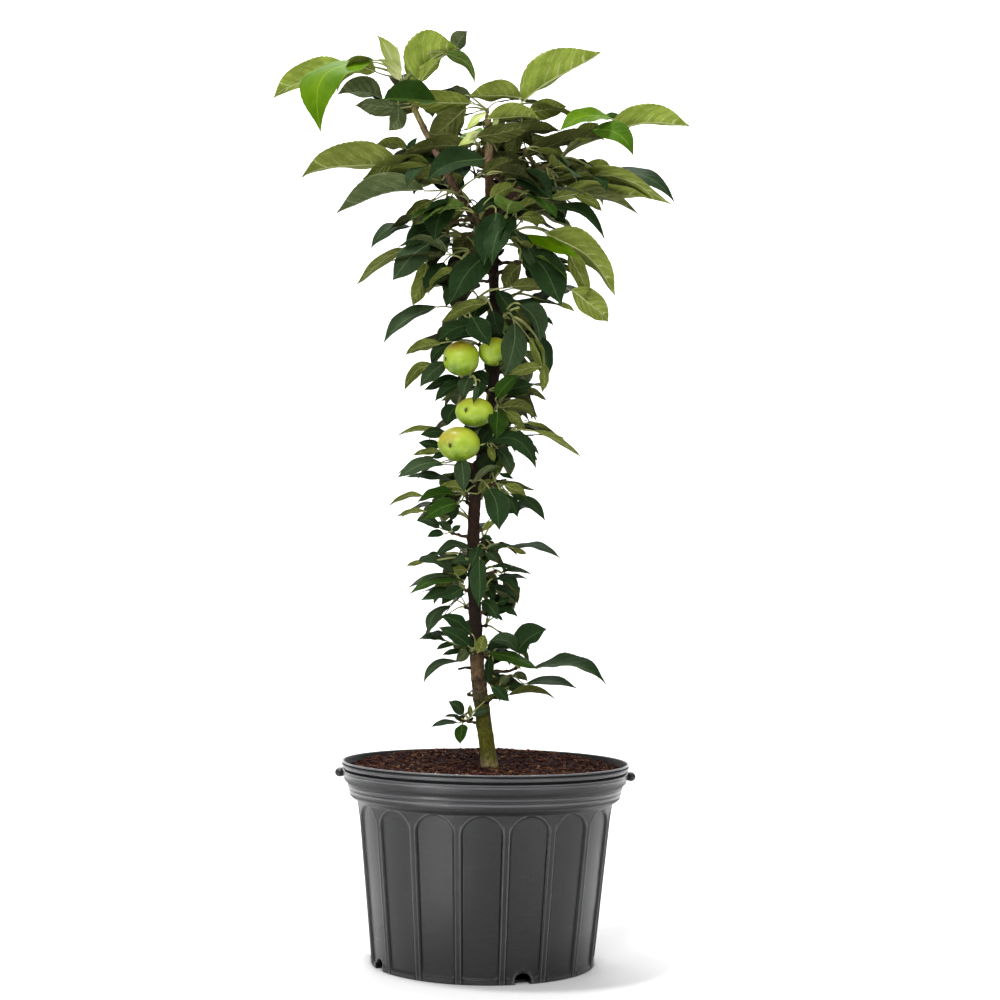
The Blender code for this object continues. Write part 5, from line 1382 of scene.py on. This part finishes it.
for azimuth in DRAINS:
    half = 0.0105
    outline = [(-half, -0.004)] + [
        (half * math.cos(math.pi * (1 - i / 16)), 0.0135 * (0.35 + 0.65 * math.sin(math.pi * (1 - i / 16)))) for i in range(17)
    ] + [(half, -0.004)]
    out, along = np.array([math.cos(azimuth), math.sin(azimuth), 0]), np.array([-math.sin(azimuth), math.cos(azimuth), 0])
    points = [tuple(out * reach + along * x + np.array([0, 0, z])) for reach in (0.1300, 0.1510) for x, z in outline]
    count = len(outline)
    faces = [tuple(f) for f in ring_faces(2, count)] + [tuple(range(count - 1, -1, -1)), tuple(range(count, 2 * count))]
    mesh = bpy.data.meshes.new("drain_cutter")
    mesh.from_pydata(points, [], faces)
    bm = bmesh.new()
    bm.from_mesh(mesh)
    bmesh.ops.recalc_face_normals(bm, faces=bm.faces)
    bm.to_mesh(mesh)
    bm.free()
    cutter = bpy.data.objects.new("drain_cutter", mesh)
    bpy.context.scene.collection.objects.link(cutter)
    modifier = pot_piece.modifiers.new("drain", "BOOLEAN")
    modifier.operation, modifier.solver, modifier.object = "DIFFERENCE", "EXACT", cutter
    bpy.context.view_layer.update()
    result = bpy.data.meshes.new_from_object(pot_piece.evaluated_get(bpy.context.evaluated_depsgraph_get()))
    pot_piece.modifiers.clear()
    pot_piece.data = result
    bpy.data.objects.remove(cutter)
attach(pot_piece, "root")
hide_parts("pot")

# ---------------------------------------------------------------------- soil

SOIL_TOP_Z, SOIL_HEAP, DISC = 0.2478, 0.0115, 0.0280


def soil_height(x, y):
    away = np.hypot(x - 0.0060, y + 0.0060)
    rise = SOIL_HEAP * smoothstep(-0.01, 0.10, y) * (1.0 - smoothstep(0.13, 0.185, np.hypot(x, y)))
    ripple = 0.0011 * np.sin(61.0 * x + 1.3) * np.cos(47.0 * y - 0.6)
    return SOIL_TOP_Z + (rise + ripple) * smoothstep(DISC, 0.07, away)


soil = Soup()
rows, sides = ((46, 150))
wall = 0.1788
grid = []
for i in range(rows):
    radius = wall * (i / (rows - 1)) ** 0.8
    turn = np.arange(sides) * 2 * math.pi / sides
    x, y = radius * np.cos(turn), radius * np.sin(turn)
    z = soil_height(x, y) - 0.0004
    lumps = np.array([noise.noise(Vector((a * 120, b * 120, 3.0))) * 0.0014 + noise.noise(Vector((a * 420, b * 420, 7.0))) * 0.0009 for a, b in zip(x, y)])
    grid.append(np.stack([x, y, z + lumps - 0.0006], -1))
grid.append(np.stack([0.1700 * np.cos(turn), 0.1700 * np.sin(turn), np.full(sides, 0.215)], -1))
grid = np.array(grid)
soil.add(grid.reshape(-1, 3), ring_faces(len(grid), sides)[:, ::-1], 0)

PHI = (1 + 5**0.5) / 2
ICO = np.array([(-1, PHI, 0), (1, PHI, 0), (-1, -PHI, 0), (1, -PHI, 0), (0, -1, PHI), (0, 1, PHI), (0, -1, -PHI), (0, 1, -PHI), (PHI, 0, -1), (PHI, 0, 1), (-PHI, 0, -1), (-PHI, 0, 1)]) / 1.9
ICO_FACES = np.array([(0, 11, 5), (0, 5, 1), (0, 1, 7), (0, 7, 10), (0, 10, 11), (1, 5, 9), (5, 11, 4), (11, 10, 2), (10, 7, 6), (7, 1, 8), (3, 9, 4), (3, 4, 2), (3, 2, 6), (3, 6, 8), (3, 8, 9), (4, 9, 5), (2, 4, 11), (6, 2, 10), (8, 6, 7), (9, 8, 1)])
crumb_rng = random.Random(SEED + 3)


def spin(rng, tilt=1.0):
    a, b, c = rng.uniform(0, 6.283), rng.uniform(-tilt, tilt), rng.uniform(-tilt, tilt)
    return np.array(Matrix.Rotation(a, 3, "Z") @ Matrix.Rotation(b, 3, "X") @ Matrix.Rotation(c, 3, "Y"))


for i in range(4800):
    radius = 0.1765 * math.sqrt(crumb_rng.random())
    turn = crumb_rng.uniform(0, 2 * math.pi)
    x, y = radius * math.cos(turn), radius * math.sin(turn)
    if math.hypot(x - 0.006, y + 0.006) < 0.0125:
        continue
    big = crumb_rng.random() ** 2.2
    size = 0.0008 + 0.0022 * big
    stretch = np.array([crumb_rng.uniform(0.8, 2.0), crumb_rng.uniform(0.6, 1.0), crumb_rng.uniform(0.35, 0.75)])
    shape = ICO * np.array([[crumb_rng.uniform(0.72, 1.15)] for _ in range(12)]) * stretch * size
    kind = crumb_rng.choices((1, 2, 3, 4), (72, 18, 8, 0.9))[0]
    if kind == 4:
        shape = shape * 0.45
    lift = float(soil_height(x, y)) + 0.15 * size
    far = size * max(stretch)
    if math.hypot(x, y) + far > 0.1790:
        continue
    soil.add(shape @ spin(crumb_rng, 0.5).T + np.array([x, y, lift]), ICO_FACES, kind)
for i in range(420):
    radius = 0.165 * math.sqrt(crumb_rng.random())
    turn = crumb_rng.uniform(0, 2 * math.pi)
    x, y = radius * math.cos(turn), radius * math.sin(turn)
    heading = crumb_rng.uniform(0, 6.283)
    length = crumb_rng.uniform(0.005, 0.014)
    path = []
    for t in np.linspace(-0.5, 0.5, 5):
        px, py = x + t * length * math.cos(heading), y + t * length * math.sin(heading)
        bend = 0.0022 * math.cos(t * 3.0)
        path.append((px - bend * math.sin(heading), py + bend * math.cos(heading), float(soil_height(px, py)) + 0.0012 + crumb_rng.uniform(-0.0002, 0.0006)))
    add_tube(soil, np.array(path), [0.0002, 0.00034, 0.0004, 0.00032, 0.0002], 4, crumb_rng.choice((2, 3, 3)))
soil_piece = soil.build(
    "soil_mix",
    [
        plain_grain("soil_fines", srgb(22, 10, 8), srgb(44, 20, 15), 600.0, 0.95, 0.8, 0.002),
        plain_grain("bark_chip_dark", srgb(30, 14, 11), srgb(54, 26, 20), 500.0, 0.95, 0.6, 0.001),
        plain_grain("bark_chip_red", srgb(56, 28, 21), srgb(82, 44, 32), 500.0, 0.95, 0.6, 0.001),
        plain_grain("fibre_pale", srgb(90, 56, 38), srgb(126, 90, 62), 500.0, 0.9, 0.4, 0.0006),
        plain_grain("mineral_fleck", srgb(196, 186, 166), srgb(222, 214, 198), 500.0, 0.8, 0.4, 0.0006),
    ],
    sharp=40,
)
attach(soil_piece, "root")
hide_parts("soil")

# ------------------------------------------------------------ floor and light


def studio():
    mat, tree, shader = new_material("studio_floor", 0.9)
    n = Nodes(tree)
    fine = n.noise(n.place(), 3.0, 2.0)
    n.link(n.mix(n.math("MULTIPLY", fine, 0.1), (0.81, 0.81, 0.81), (0.80, 0.80, 0.80)), shader.inputs["Base Color"])
    shader.inputs["Specular IOR Level"].default_value = 0.1
    profile = [(-4.0, 0.0), (2.2, 0.0)] + [
        (2.2 + 1.6 * math.sin(a), 1.6 - 1.6 * math.cos(a)) for a in np.linspace(0.08, math.pi / 2, 16)
    ] + [(3.8, 6.0)]
    points = [(x, y, z - GAP) for y, z in profile for x in (-6.0, 6.0)]
    faces = [(2 * i, 2 * i + 1, 2 * i + 3, 2 * i + 2) for i in range(len(profile) - 1)]
    mesh = bpy.data.meshes.new("studio_floor")
    mesh.from_pydata(points, [], faces)
    mesh.materials.append(mat)
    mesh.shade_smooth()
    obj = bpy.data.objects.new("studio_floor", mesh)
    bpy.context.scene.collection.objects.link(obj)
    return obj


studio()


def area_light(name, place, aim, size, power, colour=(1, 1, 1), spread=180):
    data = bpy.data.lights.new(name, "AREA")
    data.spread = math.radians(spread)
    data.shape, data.size, data.energy, data.color = "DISK", size, power, colour
    obj = bpy.data.objects.new(name, data)
    obj.location = place
    direction = Vector(aim) - Vector(place)
    obj.rotation_euler = direction.to_track_quat("-Z", "Y").to_euler()
    bpy.context.scene.collection.objects.link(obj)
    return obj


area_light("key_overhead", (-0.60, -0.30, 3.1), (0, 0, 0.6), 0.35, 50)
area_light("key_left", (-1.9, -1.9, 0.75), (0, 0, 0.3), 0.7, 15)
area_light("key_front", (-0.45, -2.9, 1.9), (0, 0, 0.4), 0.7, 26)
area_light("fill_right", (2.0, -1.9, 1.6), (0, 0, 0.5), 1.2, 9)
# Pools of light on the floor that the pot's panels mirror.
area_light("floor_left", (-0.48, -0.78, 0.7), (-0.33, -0.46, 0), 0.16, 1.2, spread=34)
area_light("floor_right", (0.66, -0.75, 0.7), (0.52, -0.50, 0), 0.16, 0.35, spread=34)
area_light("floor_right_side", (0.86, 0.44, 0.8), (0.47, 0.18, 0), 0.10, 0.7, spread=24)
area_light("floor_left_side", (-0.86, 0.44, 0.8), (-0.47, 0.18, 0), 0.10, 0.12, spread=24)
area_light("backdrop", (0.0, 2.0, 3.2), (0, 3.2, 1.0), 2.2, 130)
world = bpy.data.worlds.new("studio")
world.use_nodes = True
sky = Nodes(world.node_tree)
direction = sky.new("ShaderNodeSeparateXYZ")
sky.link(sky.place("Generated"), direction.inputs[0])
lift = sky.math("MULTIPLY_ADD", direction.outputs[2], 0.5, 0.5)
sky.link(sky.ramp(lift, [(0.3, (0.5, 0.5, 0.5)), (0.52, (0.56, 0.56, 0.57)), (0.85, (0.9, 0.9, 0.91)), (1.0, (0.95, 0.95, 0.96))]), world.node_tree.nodes["Background"].inputs["Color"])
world.node_tree.nodes["Background"].inputs["Strength"].default_value = 0.75
bpy.context.scene.world = world

camera_data = bpy.data.cameras.new("front")
camera_data.sensor_width = 36.0
camera_data.lens = FOCAL / 1000.0 * 36.0
camera_data.clip_start = 0.05
camera = bpy.data.objects.new("front", camera_data)
across = RIGHT * math.cos(ROLL) + UPWARD * math.sin(ROLL)
above = UPWARD * math.cos(ROLL) - RIGHT * math.sin(ROLL)
camera.matrix_world = Matrix(
    [[across[i], above[i], -FORWARD[i], EYE[i]] for i in range(3)] + [[0, 0, 0, 1]]
)
bpy.context.scene.collection.objects.link(camera)
bpy.context.scene.camera = camera
bpy.context.scene.view_settings.view_transform = "Standard"
bpy.context.scene.view_settings.look = "None"
